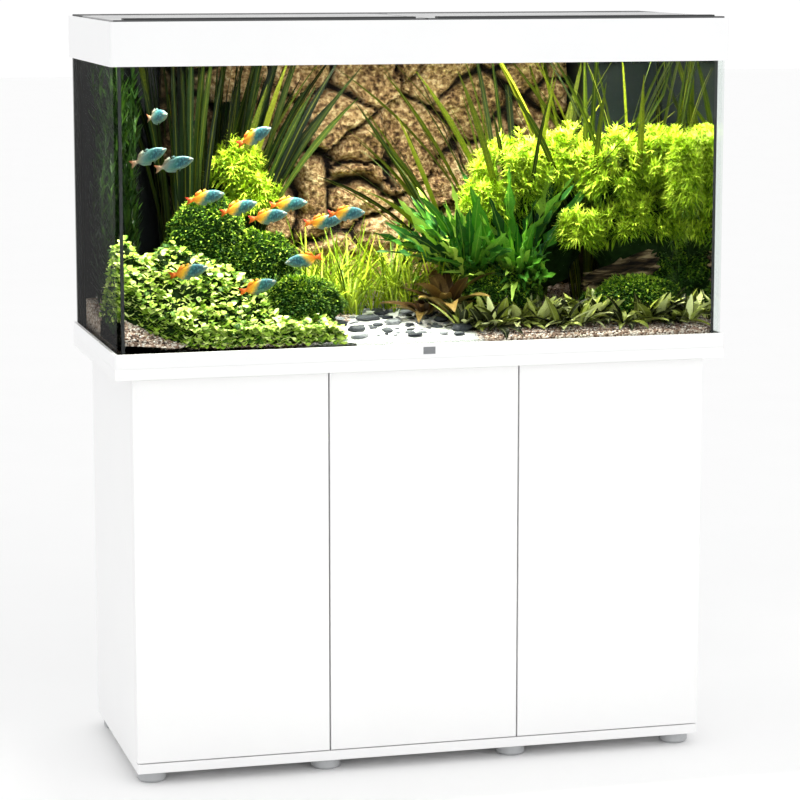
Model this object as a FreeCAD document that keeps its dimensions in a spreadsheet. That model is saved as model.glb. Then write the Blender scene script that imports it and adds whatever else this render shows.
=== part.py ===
import FreeCAD, Part
import math
import os
import re
import Sketcher

# Aquarium on a three-door cabinet. Millimetres, +Z up, +X to the viewer's right, the front faces -Y.
# The origin is on the floor under the middle of the tank's outline.

Vector = FreeCAD.Vector
doc = FreeCAD.newDocument("Aquarium")

# ---------------------------------------------------------------- driving dimensions

SIZES = [
    ("tank_width", 1210, "outside width of both tank frames and of the cabinet's top board"),
    ("tank_depth", 510, "outside depth of the same"),
    ("tank_height", 642, "from the cabinet's top to the top frame's rim"),
    ("cabinet_height", 812, "floor to the upper face of the top board"),
    ("top_board_thickness", 22, ""),
    ("board_thickness", 19, "sides, dividers, shelves, bottom"),
    ("body_inset", 36, "side panels stand in from the top board's ends"),
    ("back_recess", 7, "carcass behind the top board's back edge"),
    ("edge_radius", 1.2, "softened board edges"),
    ("door_recess", 21.5, "door fronts behind the top board's front edge"),
    ("door_thickness", 19, ""),
    ("door_gap", 3, "between neighbouring doors and round them"),
    ("door_clearance", 3, "between a door and the carcass behind it"),
    ("bottom_gap", 2, "between the doors and the bottom board"),
    ("back_thickness", 8, "back panel"),
    ("cutout_width", 160, "service cut-outs in the back panel"),
    ("cutout_height", 90, ""),
    ("cutout_drop", 60, "cut-outs below the top board"),
    ("shelf_level", 330, "shelf top above the cabinet floor"),
    ("shelf_setback", 40, "shelf front behind the carcass front"),
    ("shelf_clearance", 1, "shelf to the panels beside it"),
    ("pin_radius", 2.5, "shelf pins"),
    ("pin_length", 16, ""),
    ("pin_depth", 8, "part of a pin inside the panel"),
    ("pin_setback", 50, "pins from the shelf's front and back edges"),
    ("dowel_radius", 4, ""),
    ("dowel_length", 28, ""),
    ("dowel_in_board", 12, "part of a dowel inside the top or bottom board"),
    ("dowel_setback", 60, "dowels from the carcass front and back"),
    ("hole_clearance", 0.05, "radial play of dowels, studs and pins"),
    ("foot_height", 24, ""),
    ("foot_radius", 28.5, ""),
    ("foot_edge", 5, "rounded lower edge of a foot"),
    ("stud_radius", 4, ""),
    ("stud_length", 12, "foot stud inside the bottom board"),
    ("foot_setback", 15, "feet behind the door fronts and the back"),
    ("foot_side_inset", 34, "outer feet in from the body's ends"),
    ("cup_radius", 17.5, "hinge cup"),
    ("cup_depth", 11.5, ""),
    ("cup_wall", 1.5, ""),
    ("cup_lip", 1.2, "lip of the cup on the door's back"),
    ("cup_offset", 2.5, "cup centre nearer the hinged edge than the link"),
    ("cup_height", 95, "cups from the door's ends"),
    ("plate_thickness", 2, "hinge plate on a side panel"),
    ("arm_width", 8, ""),
    ("arm_height", 18, ""),
    ("arm_length", 66, ""),
    ("arm_start", 6, "arm behind the carcass front"),
    ("arm_wall", 1.4, ""),
    ("plate_height", 50, "hinge plate on the panel"),
    ("plate_length", 44, ""),
    ("link_thickness", 3, ""),
    ("link_height", 10, ""),
    ("link_length", 67, ""),
    ("link_pin_radius", 2.2, ""),
    ("latch_width", 16, "push latch under the top board"),
    ("latch_height", 18, ""),
    ("latch_length", 62, ""),
    ("latch_offset", 40, "latch from the door's free edge"),
    ("plunger_radius", 4, ""),
    ("plunger_length", 30, ""),
    ("plunger_tip_gap", 0.3, "plunger tip to the closed door"),
    ("plunger_travel", 2.5, ""),
    ("frame_wall", 6, "plastic frames round the glass"),
    ("frame_play", 0.5, "frame to glass"),
    ("frame_radius", 4, "rounded upright corners of the frames"),
    ("base_frame_height", 27, ""),
    ("base_ledge_width", 24, "ledge that carries the glass"),
    ("base_ledge", 3, "its thickness"),
    ("top_frame_height", 82, ""),
    ("top_ledge_width", 26, "ledge on the glass that carries the lids"),
    ("top_ledge", 4, "its thickness"),
    ("lid_recess", 5, "ledge below the top frame's rim"),
    ("brace_width", 40, ""),
    ("brace_height", 12, ""),
    ("badge_width", 24, "blank plate on the base frame"),
    ("badge_height", 14, ""),
    ("badge_depth", 1, ""),
    ("glass", 10, "thickness of every pane"),
    ("seam", 6, "silicone bead, along each leg"),
    ("lid_thickness", 8, ""),
    ("lid_gap", 2, "lids to the frame and to each other"),
    ("strip_width", 111, "fixed rear strip of the hood, front to back"),
    ("lug_width", 15, "hinge lug of the rear strip"),
    ("lug_reach", 10, "lug in front of the hinge axis"),
    ("lug_gap", 2, "flap to lug"),
    ("flap_pin_radius", 2, ""),
    ("flap_pin_length", 26, ""),
    ("grip_width", 26, "grip strip along a flap's front edge"),
    ("grip_height", 3, ""),
    ("grip_margin", 20, "grip ends from the flap's ends"),
    ("service_slot_width", 80, "cable slots in the rear strip"),
    ("service_slot_depth", 24, ""),
    ("service_slot_inset", 90, "slots from the strip's ends"),
    ("light_end_gap", 28.5, "light bar housing to the side panes"),
    ("light_width", 110, ""),
    ("light_height", 26, ""),
    ("light_wall", 2.5, ""),
    ("light_drop", 13, "housing below the lid ledge"),
    ("light_shift", -20, "light bar's centre line from the tank's"),
    ("tube_radius", 8, ""),
    ("cap_length", 34, "tube socket at each end"),
    ("tube_pitch", 54, ""),
    ("bracket_width", 60, ""),
    ("bracket_thickness", 3, ""),
    ("bracket_play", 1.5, "bracket foot to the side panes"),
    ("filter_width", 150, "internal filter box"),
    ("filter_depth", 142, ""),
    ("filter_top_gap", 25, "filter's top below the lid ledge"),
    ("filter_height", 520, ""),
    ("filter_wall", 4, ""),
    ("slot_width", 3, "intake slots"),
    ("slot_height", 8, ""),
    ("slot_pitch", 9, ""),
    ("sponge_height", 100, ""),
    ("sponge_gap", 10, ""),
    ("pump_radius", 28, ""),
    ("pump_height", 90, ""),
    ("nozzle_radius", 9, ""),
    ("nozzle_bore", 6.5, ""),
    ("nozzle_reach", 26, ""),
    ("nozzle_length", 55, ""),
    ("heater_radius", 12, ""),
    ("heater_length", 320, ""),
    ("gravel_front", 24, "gravel above the bottom pane at the front"),
    ("gravel_rear", 64, "and at the back"),
    ("rock_thickness", 56, "rock background"),
    ("rock_filter_gap", 7, "rock background to the filter box"),
    ("rock_left_gap", 163.5, "rock background to the left pane"),
    ("rock_top_gap", 30, "rock top below the lid ledge"),
    ("rest_gap", 0.5, "contents above the gravel"),
    ("planting_width", 1177, "inside width that the stones and plants were chosen for"),
    ("fish_length", 72, ""),
    ("fish_height", 24, ""),
    ("fish_thickness", 12, ""),
]

sheet = doc.addObject("Spreadsheet::Sheet", "Sizes")
for row, (alias, value, note) in enumerate(SIZES, start=1):
    sheet.set(f"A{row}", note or alias.replace("_", " "))
    sheet.set(f"B{row}", str(value))
    sheet.setAlias(f"B{row}", alias)
doc.recompute()

ALIASES = {alias for alias, _, _ in SIZES}


def in_sheet(text):
    """An expression in the sheet's words, written out the way FreeCAD reads it."""
    return re.sub(r"[a-z_]+", lambda word: "Sizes." + word[0] if word[0] in ALIASES else word[0], str(text))


def bind(thing, **expressions):
    for name, text in expressions.items():
        thing.setExpression(name.replace("__", "."), in_sheet(text))


def size(alias):
    return float(sheet.get(alias))


# Planes that several pieces share, in the sheet's words.
HALF_WIDTH = "(tank_width / 2)"
HALF_DEPTH = "(tank_depth / 2)"
BODY_SIDE = f"({HALF_WIDTH} - body_inset)"
DOOR_FRONT = f"(door_recess - {HALF_DEPTH})"
DOOR_BACK = f"({DOOR_FRONT} + door_thickness)"
CARCASS_FRONT = f"({DOOR_BACK} + door_clearance)"
CARCASS_BACK = f"({HALF_DEPTH} - back_recess)"
BACK_PANEL_FRONT = f"({CARCASS_BACK} - back_thickness)"
CABINET_FLOOR = "(foot_height + board_thickness)"
UNDER_TOP = "(cabinet_height - top_board_thickness)"
DIVIDER_X = f"({BODY_SIDE} / 3)"
RIM = "(cabinet_height + tank_height)"
LEDGE_TOP = f"({RIM} - lid_recess)"
GLASS_TOP = f"({LEDGE_TOP} - top_ledge)"
GLASS_FOOT = "(cabinet_height + base_ledge)"
GLASS_X = f"({HALF_WIDTH} - frame_wall - frame_play)"
GLASS_Y = f"({HALF_DEPTH} - frame_wall - frame_play)"
INSIDE_X = f"({GLASS_X} - glass)"
INSIDE_Y = f"({GLASS_Y} - glass)"
TANK_FLOOR = f"({GLASS_FOOT} + glass)"

nodes = []


def node(thing, label):
    """Marks an object as one sub-part; its label names its file."""
    thing.Label = label
    nodes.append(thing)
    return thing


# ---------------------------------------------------------------- ways of making a piece


def box(name, x, y, z):
    """A Part box between two expressions on each axis."""
    thing = doc.addObject("Part::Box", name)
    bind(thing, Length=f"{x[1]} - ({x[0]})", Width=f"{y[1]} - ({y[0]})", Height=f"{z[1]} - ({z[0]})")
    bind(thing, Placement__Base__x=x[0], Placement__Base__y=y[0], Placement__Base__z=z[0])
    return thing


TURNS = {"x": (Vector(0, 1, 0), 90), "y": (Vector(1, 0, 0), -90), "z": (Vector(0, 0, 1), 0)}


def rod(name, radius, length, start, along="z"):
    """A Part cylinder that runs from a start point in the positive direction of an axis."""
    thing = doc.addObject("Part::Cylinder", name)
    turn_axis, turn = TURNS[along]
    thing.Placement = FreeCAD.Placement(Vector(), FreeCAD.Rotation(turn_axis, turn))
    bind(thing, Radius=radius, Height=length)
    bind(thing, Placement__Base__x=start[0], Placement__Base__y=start[1], Placement__Base__z=start[2])
    return thing


def fuse(name, shapes):
    thing = doc.addObject("Part::MultiFuse", name)
    thing.Shapes = shapes
    return thing


def group(name, shapes):
    """Several separate solids that make one sub-part."""
    thing = doc.addObject("Part::Compound", name)
    thing.Links = shapes
    return thing


def cut(name, base, tools):
    """A piece with holes: the tools are gathered first, so that one cut takes them all."""
    thing = doc.addObject("Part::Cut", name)
    thing.Base = base
    thing.Tool = tools[0] if len(tools) == 1 else group(name + "_tools", tools)
    return thing


def plane(body, role):
    return next(feature for feature in body.Origin.OriginFeatures if feature.Role == role)


def sketch_on(body, name, role="XY_Plane", lift=None):
    sketch = body.newObject("Sketcher::SketchObject", name)
    sketch.AttachmentSupport = [(plane(body, role), "")]
    sketch.MapMode = "FlatFace"
    if lift is not None:
        bind(sketch, AttachmentOffset__Base__z=lift)
    return sketch


def place(sketch, kind, element, point, text):
    """Holds one end of a sketch element at an expression, measured from the sketch's origin."""
    index = sketch.addConstraint(Sketcher.Constraint(kind, -1, 1, element, point, 1.0))
    sketch.setExpression(f"Constraints[{index}]", in_sheet(text))


def polygon(sketch, corners):
    """A closed outline whose corners are held at pairs of expressions."""
    count = len(corners)
    guess = [Vector(10 * math.cos(2 * math.pi * i / count), 10 * math.sin(2 * math.pi * i / count), 0)
             for i in range(count)]
    first = sketch.GeometryCount
    for i in range(count):
        sketch.addGeometry(Part.LineSegment(guess[i], guess[(i + 1) % count]))
    for i in range(count):
        sketch.addConstraint(Sketcher.Constraint("Coincident", first + i, 2, first + (i + 1) % count, 1))
    for i, (across, up) in enumerate(corners):
        place(sketch, "DistanceX", first + i, 1, across)
        place(sketch, "DistanceY", first + i, 1, up)


def rectangle(sketch, x, y):
    polygon(sketch, [(x[0], y[0]), (x[1], y[0]), (x[1], y[1]), (x[0], y[1])])


def pad(body, sketch, length):
    feature = body.newObject("PartDesign::Pad", sketch.Name + "_pad")
    feature.Profile = sketch
    bind(feature, Length=length)
    return feature


def pocket(body, sketch, depth):
    """A pocket that goes down from its sketch; it has to take material away."""
    doc.recompute()
    before = body.Shape.Volume
    feature = body.newObject("PartDesign::Pocket", sketch.Name + "_pocket")
    feature.Profile = sketch
    bind(feature, Length=depth)
    doc.recompute()
    if body.Shape.Volume >= before - 1e-6:
        raise RuntimeError(f"{sketch.Name}: the pocket cuts nothing")
    return feature


def upright_edges(shape):
    """Names of the straight edges that run along Z."""
    found = []
    for number, edge in enumerate(shape.Edges, start=1):
        ends = [vertex.Point for vertex in edge.Vertexes]
        if len(ends) == 2 and abs(ends[0].x - ends[1].x) < 1e-6 and abs(ends[0].y - ends[1].y) < 1e-6:
            found.append(f"Edge{number}")
    return found


def round_edges(body, feature, edges, radius):
    doc.recompute()
    rounding = body.newObject("PartDesign::Fillet", feature.Name + "_fillet")
    rounding.Base = (feature, edges)
    bind(rounding, Radius=radius)
    return rounding


def slab(name, x, y, z, radius=None, all_edges=False):
    """A board or block as a body: a sketched rectangle padded upwards, its edges softened."""
    body = doc.addObject("PartDesign::Body", name)
    outline = sketch_on(body, name + "_outline")
    rectangle(outline, x, y)
    block = pad(body, outline, f"{z[1]} - ({z[0]})")
    bind(body, Placement__Base__z=z[0])
    doc.recompute()
    if radius:
        edges = upright_edges(block.Shape)
        if all_edges:
            edges = [f"Edge{number + 1}" for number in range(len(block.Shape.Edges))]
        round_edges(body, block, edges, radius)
    return body


# ---------------------------------------------------------------- dowels

PANELS = {
    "side_panel_left": (f"(board_thickness / 2 - {BODY_SIDE})", CARCASS_BACK),
    "divider_left": (f"(0 - {DIVIDER_X})", BACK_PANEL_FRONT),
    "divider_right": (DIVIDER_X, BACK_PANEL_FRONT),
    "side_panel_right": (f"({BODY_SIDE} - board_thickness / 2)", CARCASS_BACK),
}


def dowel_rods(name, radius):
    """Four dowels in each upright panel, two into the top board and two into the bottom board."""
    rods = []
    for panel, (middle, _) in PANELS.items():
        for where, y in (("front", f"{CARCASS_FRONT} + dowel_setback"), ("back", f"{CARCASS_BACK} - dowel_setback")):
            low = f"{CABINET_FLOOR} - dowel_in_board"
            high = f"{UNDER_TOP} + dowel_in_board - dowel_length"
            for end, z in (("low", low), ("high", high)):
                rods.append(rod(f"{name}_{panel}_{where}_{end}", radius, "dowel_length", (middle, y, z)))
    return group(name, rods)


node(dowel_rods("dowels", "dowel_radius"), "carcass_dowels")
dowel_holes = dowel_rods("dowel_holes", "(dowel_radius + hole_clearance)")

# ---------------------------------------------------------------- cabinet boards and feet

FEET_X = [f"(foot_side_inset - {BODY_SIDE})", f"(0 - {DIVIDER_X})", DIVIDER_X, f"({BODY_SIDE} - foot_side_inset)"]
FEET_Y = [f"({DOOR_FRONT} + foot_setback + foot_radius)", f"({CARCASS_BACK} - foot_setback - foot_radius)"]

stud_holes = []
feet = []
for line, foot_y in enumerate(FEET_Y):
    for place_in_line, foot_x in enumerate(FEET_X):
        tag = f"{line}_{place_in_line}"
        stud_holes.append(rod(f"stud_hole_{tag}", "(stud_radius + hole_clearance)", "stud_length + hole_clearance",
                              (foot_x, foot_y, "foot_height")))
        foot = doc.addObject("PartDesign::Body", f"foot_{tag}")
        profile = sketch_on(foot, f"foot_{tag}_profile", "XZ_Plane")
        polygon(profile, [("0", "0"), ("foot_radius - foot_edge", "0"), ("foot_radius", "foot_edge"),
                          ("foot_radius", "foot_height"), ("stud_radius", "foot_height"),
                          ("stud_radius", "foot_height + stud_length"), ("0", "foot_height + stud_length")])
        turned = foot.newObject("PartDesign::Revolution", f"foot_{tag}_turned")
        turned.Profile = profile
        turned.ReferenceAxis = (profile, ["V_Axis"])
        turned.Angle = 360
        bind(foot, Placement__Base__x=foot_x, Placement__Base__y=foot_y)
        feet.append(foot)
node(group("feet_group", feet), "feet")

top_board = slab("top_board", (f"-{HALF_WIDTH}", HALF_WIDTH), (f"-{HALF_DEPTH}", HALF_DEPTH),
                 (UNDER_TOP, "cabinet_height"), "edge_radius", all_edges=True)
node(cut("top_board_drilled", top_board, [dowel_holes]), "cabinet_top_board")

bottom_board = slab("bottom_board", (f"-{BODY_SIDE}", BODY_SIDE), (DOOR_FRONT, CARCASS_BACK),
                    ("foot_height", CABINET_FLOOR), "edge_radius", all_edges=True)
node(cut("bottom_board_drilled", bottom_board, [dowel_holes] + stud_holes), "cabinet_bottom_board")

SHELVES = {
    "shelf_left": (f"(board_thickness - {BODY_SIDE})", f"(0 - {DIVIDER_X} - board_thickness / 2)"),
    "shelf_right": (f"({DIVIDER_X} + board_thickness / 2)", f"({BODY_SIDE} - board_thickness)"),
}
SHELF_FRONT = f"({CARCASS_FRONT} + shelf_setback)"
SHELF_BACK = f"({BACK_PANEL_FRONT} - shelf_clearance)"
SHELF_UNDER = f"({CABINET_FLOOR} + shelf_level - board_thickness)"


def pin_rods(name, radius):
    """Four pins under each shelf, part in the panel and part under the shelf."""
    rods = []
    for shelf, (left, right) in SHELVES.items():
        for where, y in (("front", f"{SHELF_FRONT} + pin_setback"), ("back", f"{SHELF_BACK} - pin_setback")):
            ends = (("left", f"{left} - pin_depth"), ("right", f"{right} + pin_depth - pin_length"))
            for end, x in ends:
                start = (x, y, f"{SHELF_UNDER} - pin_radius")
                rods.append(rod(f"{name}_{shelf}_{where}_{end}", radius, "pin_length", start, "x"))
    return group(name, rods)


node(pin_rods("pins", "pin_radius"), "shelf_pins")
pin_holes = pin_rods("pin_holes", "(pin_radius + hole_clearance)")

for label, (left, right) in SHELVES.items():
    shelf = slab(label, (f"{left} + shelf_clearance", f"{right} - shelf_clearance"), (SHELF_FRONT, SHELF_BACK),
                 (SHELF_UNDER, f"{SHELF_UNDER} + board_thickness"), "edge_radius")
    node(shelf, label)

for label, (middle, back) in PANELS.items():
    panel = slab(label + "_board", (f"{middle} - board_thickness / 2", f"{middle} + board_thickness / 2"),
                 (CARCASS_FRONT, back), (CABINET_FLOOR, UNDER_TOP), "edge_radius")
    node(cut(label + "_drilled", panel, [dowel_holes, pin_holes]), label)

back_board = slab("back_board", (f"board_thickness - {BODY_SIDE}", f"{BODY_SIDE} - board_thickness"),
                  (BACK_PANEL_FRONT, CARCASS_BACK), (CABINET_FLOOR, UNDER_TOP))
cutouts = []
for side, middle in (("left", f"(0 - {BODY_SIDE} * 2 / 3)"), ("right", f"({BODY_SIDE} * 2 / 3)")):
    cutouts.append(box(f"cutout_{side}", (f"{middle} - cutout_width / 2", f"{middle} + cutout_width / 2"),
                       (f"{BACK_PANEL_FRONT} - back_thickness", f"{CARCASS_BACK} + back_thickness"),
                       (f"{UNDER_TOP} - cutout_drop - cutout_height", f"{UNDER_TOP} - cutout_drop")))
node(cut("back_board_cut", back_board, cutouts), "back_panel")

# ---------------------------------------------------------------- doors, hinges and latches

DOOR_LOW = f"({CABINET_FLOOR} + bottom_gap)"
DOOR_HIGH = f"({UNDER_TOP} - door_gap)"
DOORS = {
    # hinged edge, free edge, +1 where the hinge is on the left, inner face of the panel that carries the hinge
    "left": (f"(0 - {BODY_SIDE})", f"(0 - {DIVIDER_X} - door_gap / 2)", 1, f"(board_thickness - {BODY_SIDE})"),
    "middle": (f"(door_gap / 2 - {DIVIDER_X})", f"({DIVIDER_X} - door_gap / 2)", 1,
               f"(board_thickness / 2 - {DIVIDER_X})"),
    "right": (BODY_SIDE, f"({DIVIDER_X} + door_gap / 2)", -1, f"({BODY_SIDE} - board_thickness)"),
}
# The arm clears a side panel by its plate; the link runs in the arm's middle and ends inside the cup.
ARM_INSET = "(board_thickness + plate_thickness)"
LINK_INSET = f"({ARM_INSET} + arm_width / 2)"
CUP_LEVELS = {"low": f"({DOOR_LOW} + cup_height)", "high": f"({DOOR_HIGH} - cup_height)"}


def between(a, b, hand):
    """Two expressions along X in rising order, whichever way the door is handed."""
    return (a, b) if hand > 0 else (b, a)


arms = []
latches = []
for side, (hinged, free, hand, panel_face) in DOORS.items():
    # The door is padded upwards; the hinge cups are sunk into its back face.
    door = slab(f"door_{side}_board", between(hinged, free, hand), (DOOR_FRONT, DOOR_BACK), (DOOR_LOW, DOOR_HIGH),
                "edge_radius", all_edges=True)
    cup_x = f"({hinged} + {hand} * ({LINK_INSET} - cup_offset))"
    holes = []
    cups = []
    links = []
    for level, z in CUP_LEVELS.items():
        tag = f"{side}_{level}"
        bottom = f"({DOOR_BACK} - cup_depth)"
        holes.append(rod(f"cup_hole_{tag}", "cup_radius", "cup_depth + cup_lip", (cup_x, bottom, z), "y"))
        shell = rod(f"cup_shell_{tag}", "cup_radius", "cup_depth", (cup_x, bottom, z), "y")
        lip = rod(f"cup_lip_{tag}", "cup_radius + cup_wall", "cup_lip", (cup_x, DOOR_BACK, z), "y")
        hollow = rod(f"cup_hollow_{tag}", "cup_radius - cup_wall", "cup_depth + cup_lip",
                     (cup_x, f"{bottom} + cup_wall", z), "y")
        cups.append(cut(f"cup_{tag}", fuse(f"cup_solid_{tag}", [shell, lip]), [hollow]))

        arm_near = f"({hinged} + {hand} * {ARM_INSET})"
        arm_far = f"({hinged} + {hand} * ({ARM_INSET} + arm_width))"
        arm_front = f"({CARCASS_FRONT} + arm_start)"
        arm_z = (f"{z} - arm_height / 2", f"{z} + arm_height / 2")
        channel = box(f"arm_channel_{tag}", between(arm_near, arm_far, hand),
                      (arm_front, f"{arm_front} + arm_length"), arm_z)
        inside = box(f"arm_inside_{tag}",
                     between(f"({arm_near} + {hand} * arm_wall)", f"({arm_far} - {hand} * arm_wall)", hand),
                     (f"{arm_front} - 1", f"{arm_front} + arm_length + 1"),
                     (f"{z} - arm_height / 2 + arm_wall", f"{z} + arm_height / 2 - arm_wall"))
        plate = box(f"plate_{tag}", between(panel_face, arm_near, hand),
                    (f"{arm_front} + arm_length - plate_length", f"{arm_front} + arm_length"),
                    (f"{z} - plate_height / 2", f"{z} + plate_height / 2"))
        arms.append(fuse(f"arm_{tag}", [cut(f"arm_hollow_{tag}", channel, [inside]), plate]))

        arm_middle = f"({hinged} + {hand} * {LINK_INSET})"
        tip_y = f"({DOOR_BACK} - cup_depth / 2)"
        bar = box(f"link_bar_{tag}", (f"{arm_middle} - link_thickness / 2", f"{arm_middle} + link_thickness / 2"),
                  (tip_y, f"{tip_y} + link_length"), (f"{z} - link_height / 2", f"{z} + link_height / 2"))
        pin = rod(f"link_pin_{tag}", "link_pin_radius", "link_height", (arm_middle, tip_y, f"{z} - link_height / 2"))
        links.append(fuse(f"link_{tag}", [bar, pin]))
    node(cut(f"door_{side}_bored", door, holes), f"door_{side}")
    node(group(f"cups_{side}", cups), f"hinge_cups_{side}")
    node(group(f"links_{side}", links), f"hinge_links_{side}")

    latch_x = f"({free} - {hand} * latch_offset)"
    latch_z = f"({UNDER_TOP} - latch_height / 2)"
    case = box(f"latch_case_{side}", (f"{latch_x} - latch_width / 2", f"{latch_x} + latch_width / 2"),
               (CARCASS_FRONT, f"{CARCASS_FRONT} + latch_length"), (f"{UNDER_TOP} - latch_height", UNDER_TOP))
    tip = f"({DOOR_BACK} + plunger_tip_gap)"
    bore = rod(f"latch_bore_{side}", "plunger_radius + hole_clearance", "plunger_length + plunger_travel + 1",
               (latch_x, tip, latch_z), "y")
    latches.append(cut(f"latch_{side}", case, [bore]))
    node(rod(f"plunger_{side}", "plunger_radius", "plunger_length", (latch_x, tip, latch_z), "y"),
         f"latch_plunger_{side}")
node(group("arms", arms), "hinge_arms")
node(group("latches", latches), "push_latches")

# ---------------------------------------------------------------- tank frames and glass


def ring(name, z, ledge_z, ledge_width):
    """A frame round the tank: an outer wall, and a ledge that reaches in over or under the panes."""
    body = slab(name, (f"-{HALF_WIDTH}", HALF_WIDTH), (f"-{HALF_DEPTH}", HALF_DEPTH), z, "frame_radius")
    through = sketch_on(body, name + "_through", lift=f"{z[1]} - ({z[0]})")
    rectangle(through, (f"{ledge_width} - {HALF_WIDTH}", f"{HALF_WIDTH} - {ledge_width}"),
              (f"{ledge_width} - {HALF_DEPTH}", f"{HALF_DEPTH} - {ledge_width}"))
    pocket(body, through, f"{z[1]} - ({z[0]})")
    wall_x = (f"frame_wall - {HALF_WIDTH}", f"{HALF_WIDTH} - frame_wall")
    wall_y = (f"frame_wall - {HALF_DEPTH}", f"{HALF_DEPTH} - frame_wall")
    above = sketch_on(body, name + "_above", lift=f"{z[1]} - ({z[0]})")
    rectangle(above, wall_x, wall_y)
    pocket(body, above, f"{z[1]} - ({ledge_z[1]})")
    return body, wall_x, wall_y


BASE_Z = ("cabinet_height", "cabinet_height + base_frame_height")
base_ring, _, _ = ring("base_ring", BASE_Z, (BASE_Z[0], GLASS_FOOT), "base_ledge_width")
BADGE_Z = (f"{BASE_Z[0]} + base_frame_height / 2 + 1 - badge_height / 2",
           f"{BASE_Z[0]} + base_frame_height / 2 + 1 + badge_height / 2")
BADGE_X = ("3 - badge_width / 2", "3 + badge_width / 2")
BADGE_Y = (f"-{HALF_DEPTH}", f"badge_depth - {HALF_DEPTH}")
node(cut("base_ring_recessed", base_ring, [box("badge_recess", BADGE_X, BADGE_Y, BADGE_Z)]), "base_frame")
node(box("badge", BADGE_X, BADGE_Y, BADGE_Z), "badge_plate")

TOP_Z = (f"{RIM} - top_frame_height", RIM)
top_ring, wall_x, wall_y = ring("top_ring", TOP_Z, (GLASS_TOP, LEDGE_TOP), "top_ledge_width")
under_ledge = box("under_ledge", wall_x, wall_y, (f"{TOP_Z[0]} - 1", GLASS_TOP))
node(cut("top_ring_hollow", top_ring, [under_ledge]), "top_frame")
node(slab("brace", ("-brace_width / 2", "brace_width / 2"),
          (f"top_ledge_width - {HALF_DEPTH}", f"{HALF_DEPTH} - top_ledge_width"),
          (f"{LEDGE_TOP} - brace_height", LEDGE_TOP)), "cross_brace")

PANES = {
    "glass_bottom": ((f"-{INSIDE_X}", INSIDE_X), (f"-{INSIDE_Y}", INSIDE_Y), (GLASS_FOOT, TANK_FLOOR)),
    "glass_front": ((f"-{GLASS_X}", GLASS_X), (f"-{GLASS_Y}", f"-{INSIDE_Y}"), (GLASS_FOOT, GLASS_TOP)),
    "glass_back": ((f"-{GLASS_X}", GLASS_X), (INSIDE_Y, GLASS_Y), (GLASS_FOOT, GLASS_TOP)),
    "glass_left": ((f"-{GLASS_X}", f"-{INSIDE_X}"), (f"-{INSIDE_Y}", INSIDE_Y), (GLASS_FOOT, GLASS_TOP)),
    "glass_right": ((INSIDE_X, GLASS_X), (f"-{INSIDE_Y}", INSIDE_Y), (GLASS_FOOT, GLASS_TOP)),
}
for label, (x, y, z) in PANES.items():
    node(slab(label, x, y, z), label)


def bead(name, sign_x, sign_y):
    """Upright silicone bead in one inner corner of the tank."""
    body = doc.addObject("PartDesign::Body", name)
    section = sketch_on(body, name + "_section")
    corner_x = f"({sign_x} * {INSIDE_X})"
    corner_y = f"({sign_y} * {INSIDE_Y})"
    polygon(section, [(corner_x, corner_y), (f"{corner_x} - {sign_x} * seam", corner_y),
                      (corner_x, f"{corner_y} - {sign_y} * seam")])
    pad(body, section, f"{GLASS_TOP} - {TANK_FLOOR}")
    bind(body, Placement__Base__z=TANK_FLOOR)
    return body


node(group("beads", [bead(f"bead_{i}", sx, sy) for i, (sx, sy) in
                     enumerate([(-1, -1), (1, -1), (1, 1), (-1, 1)])]), "silicone_seams")

# ---------------------------------------------------------------- hood

HOOD_X = f"({HALF_WIDTH} - frame_wall - lid_gap)"
HOOD_Y = f"({HALF_DEPTH} - frame_wall - lid_gap)"
LID_Z = (LEDGE_TOP, f"{LEDGE_TOP} + lid_thickness")
LID_MIDDLE = f"({LEDGE_TOP} + lid_thickness / 2)"
STRIP_FRONT = f"({HOOD_Y} - strip_width)"
HINGE_Y = f"({STRIP_FRONT} - lid_gap - lid_thickness / 2)"

strip = box("strip", (f"-{HOOD_X}", HOOD_X), (STRIP_FRONT, HOOD_Y), LID_Z)
slots = []
for side, sign in (("left", -1), ("right", 1)):
    middle = f"({sign} * ({HOOD_X} - service_slot_inset))"
    slots.append(box(f"service_slot_{side}",
                     (f"{middle} - service_slot_width / 2", f"{middle} + service_slot_width / 2"),
                     (f"{HOOD_Y} - service_slot_depth - top_ledge_width", f"{HOOD_Y} - top_ledge_width"),
                     (f"{LEDGE_TOP} - 1", f"{LEDGE_TOP} + lid_thickness + 1")))

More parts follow.
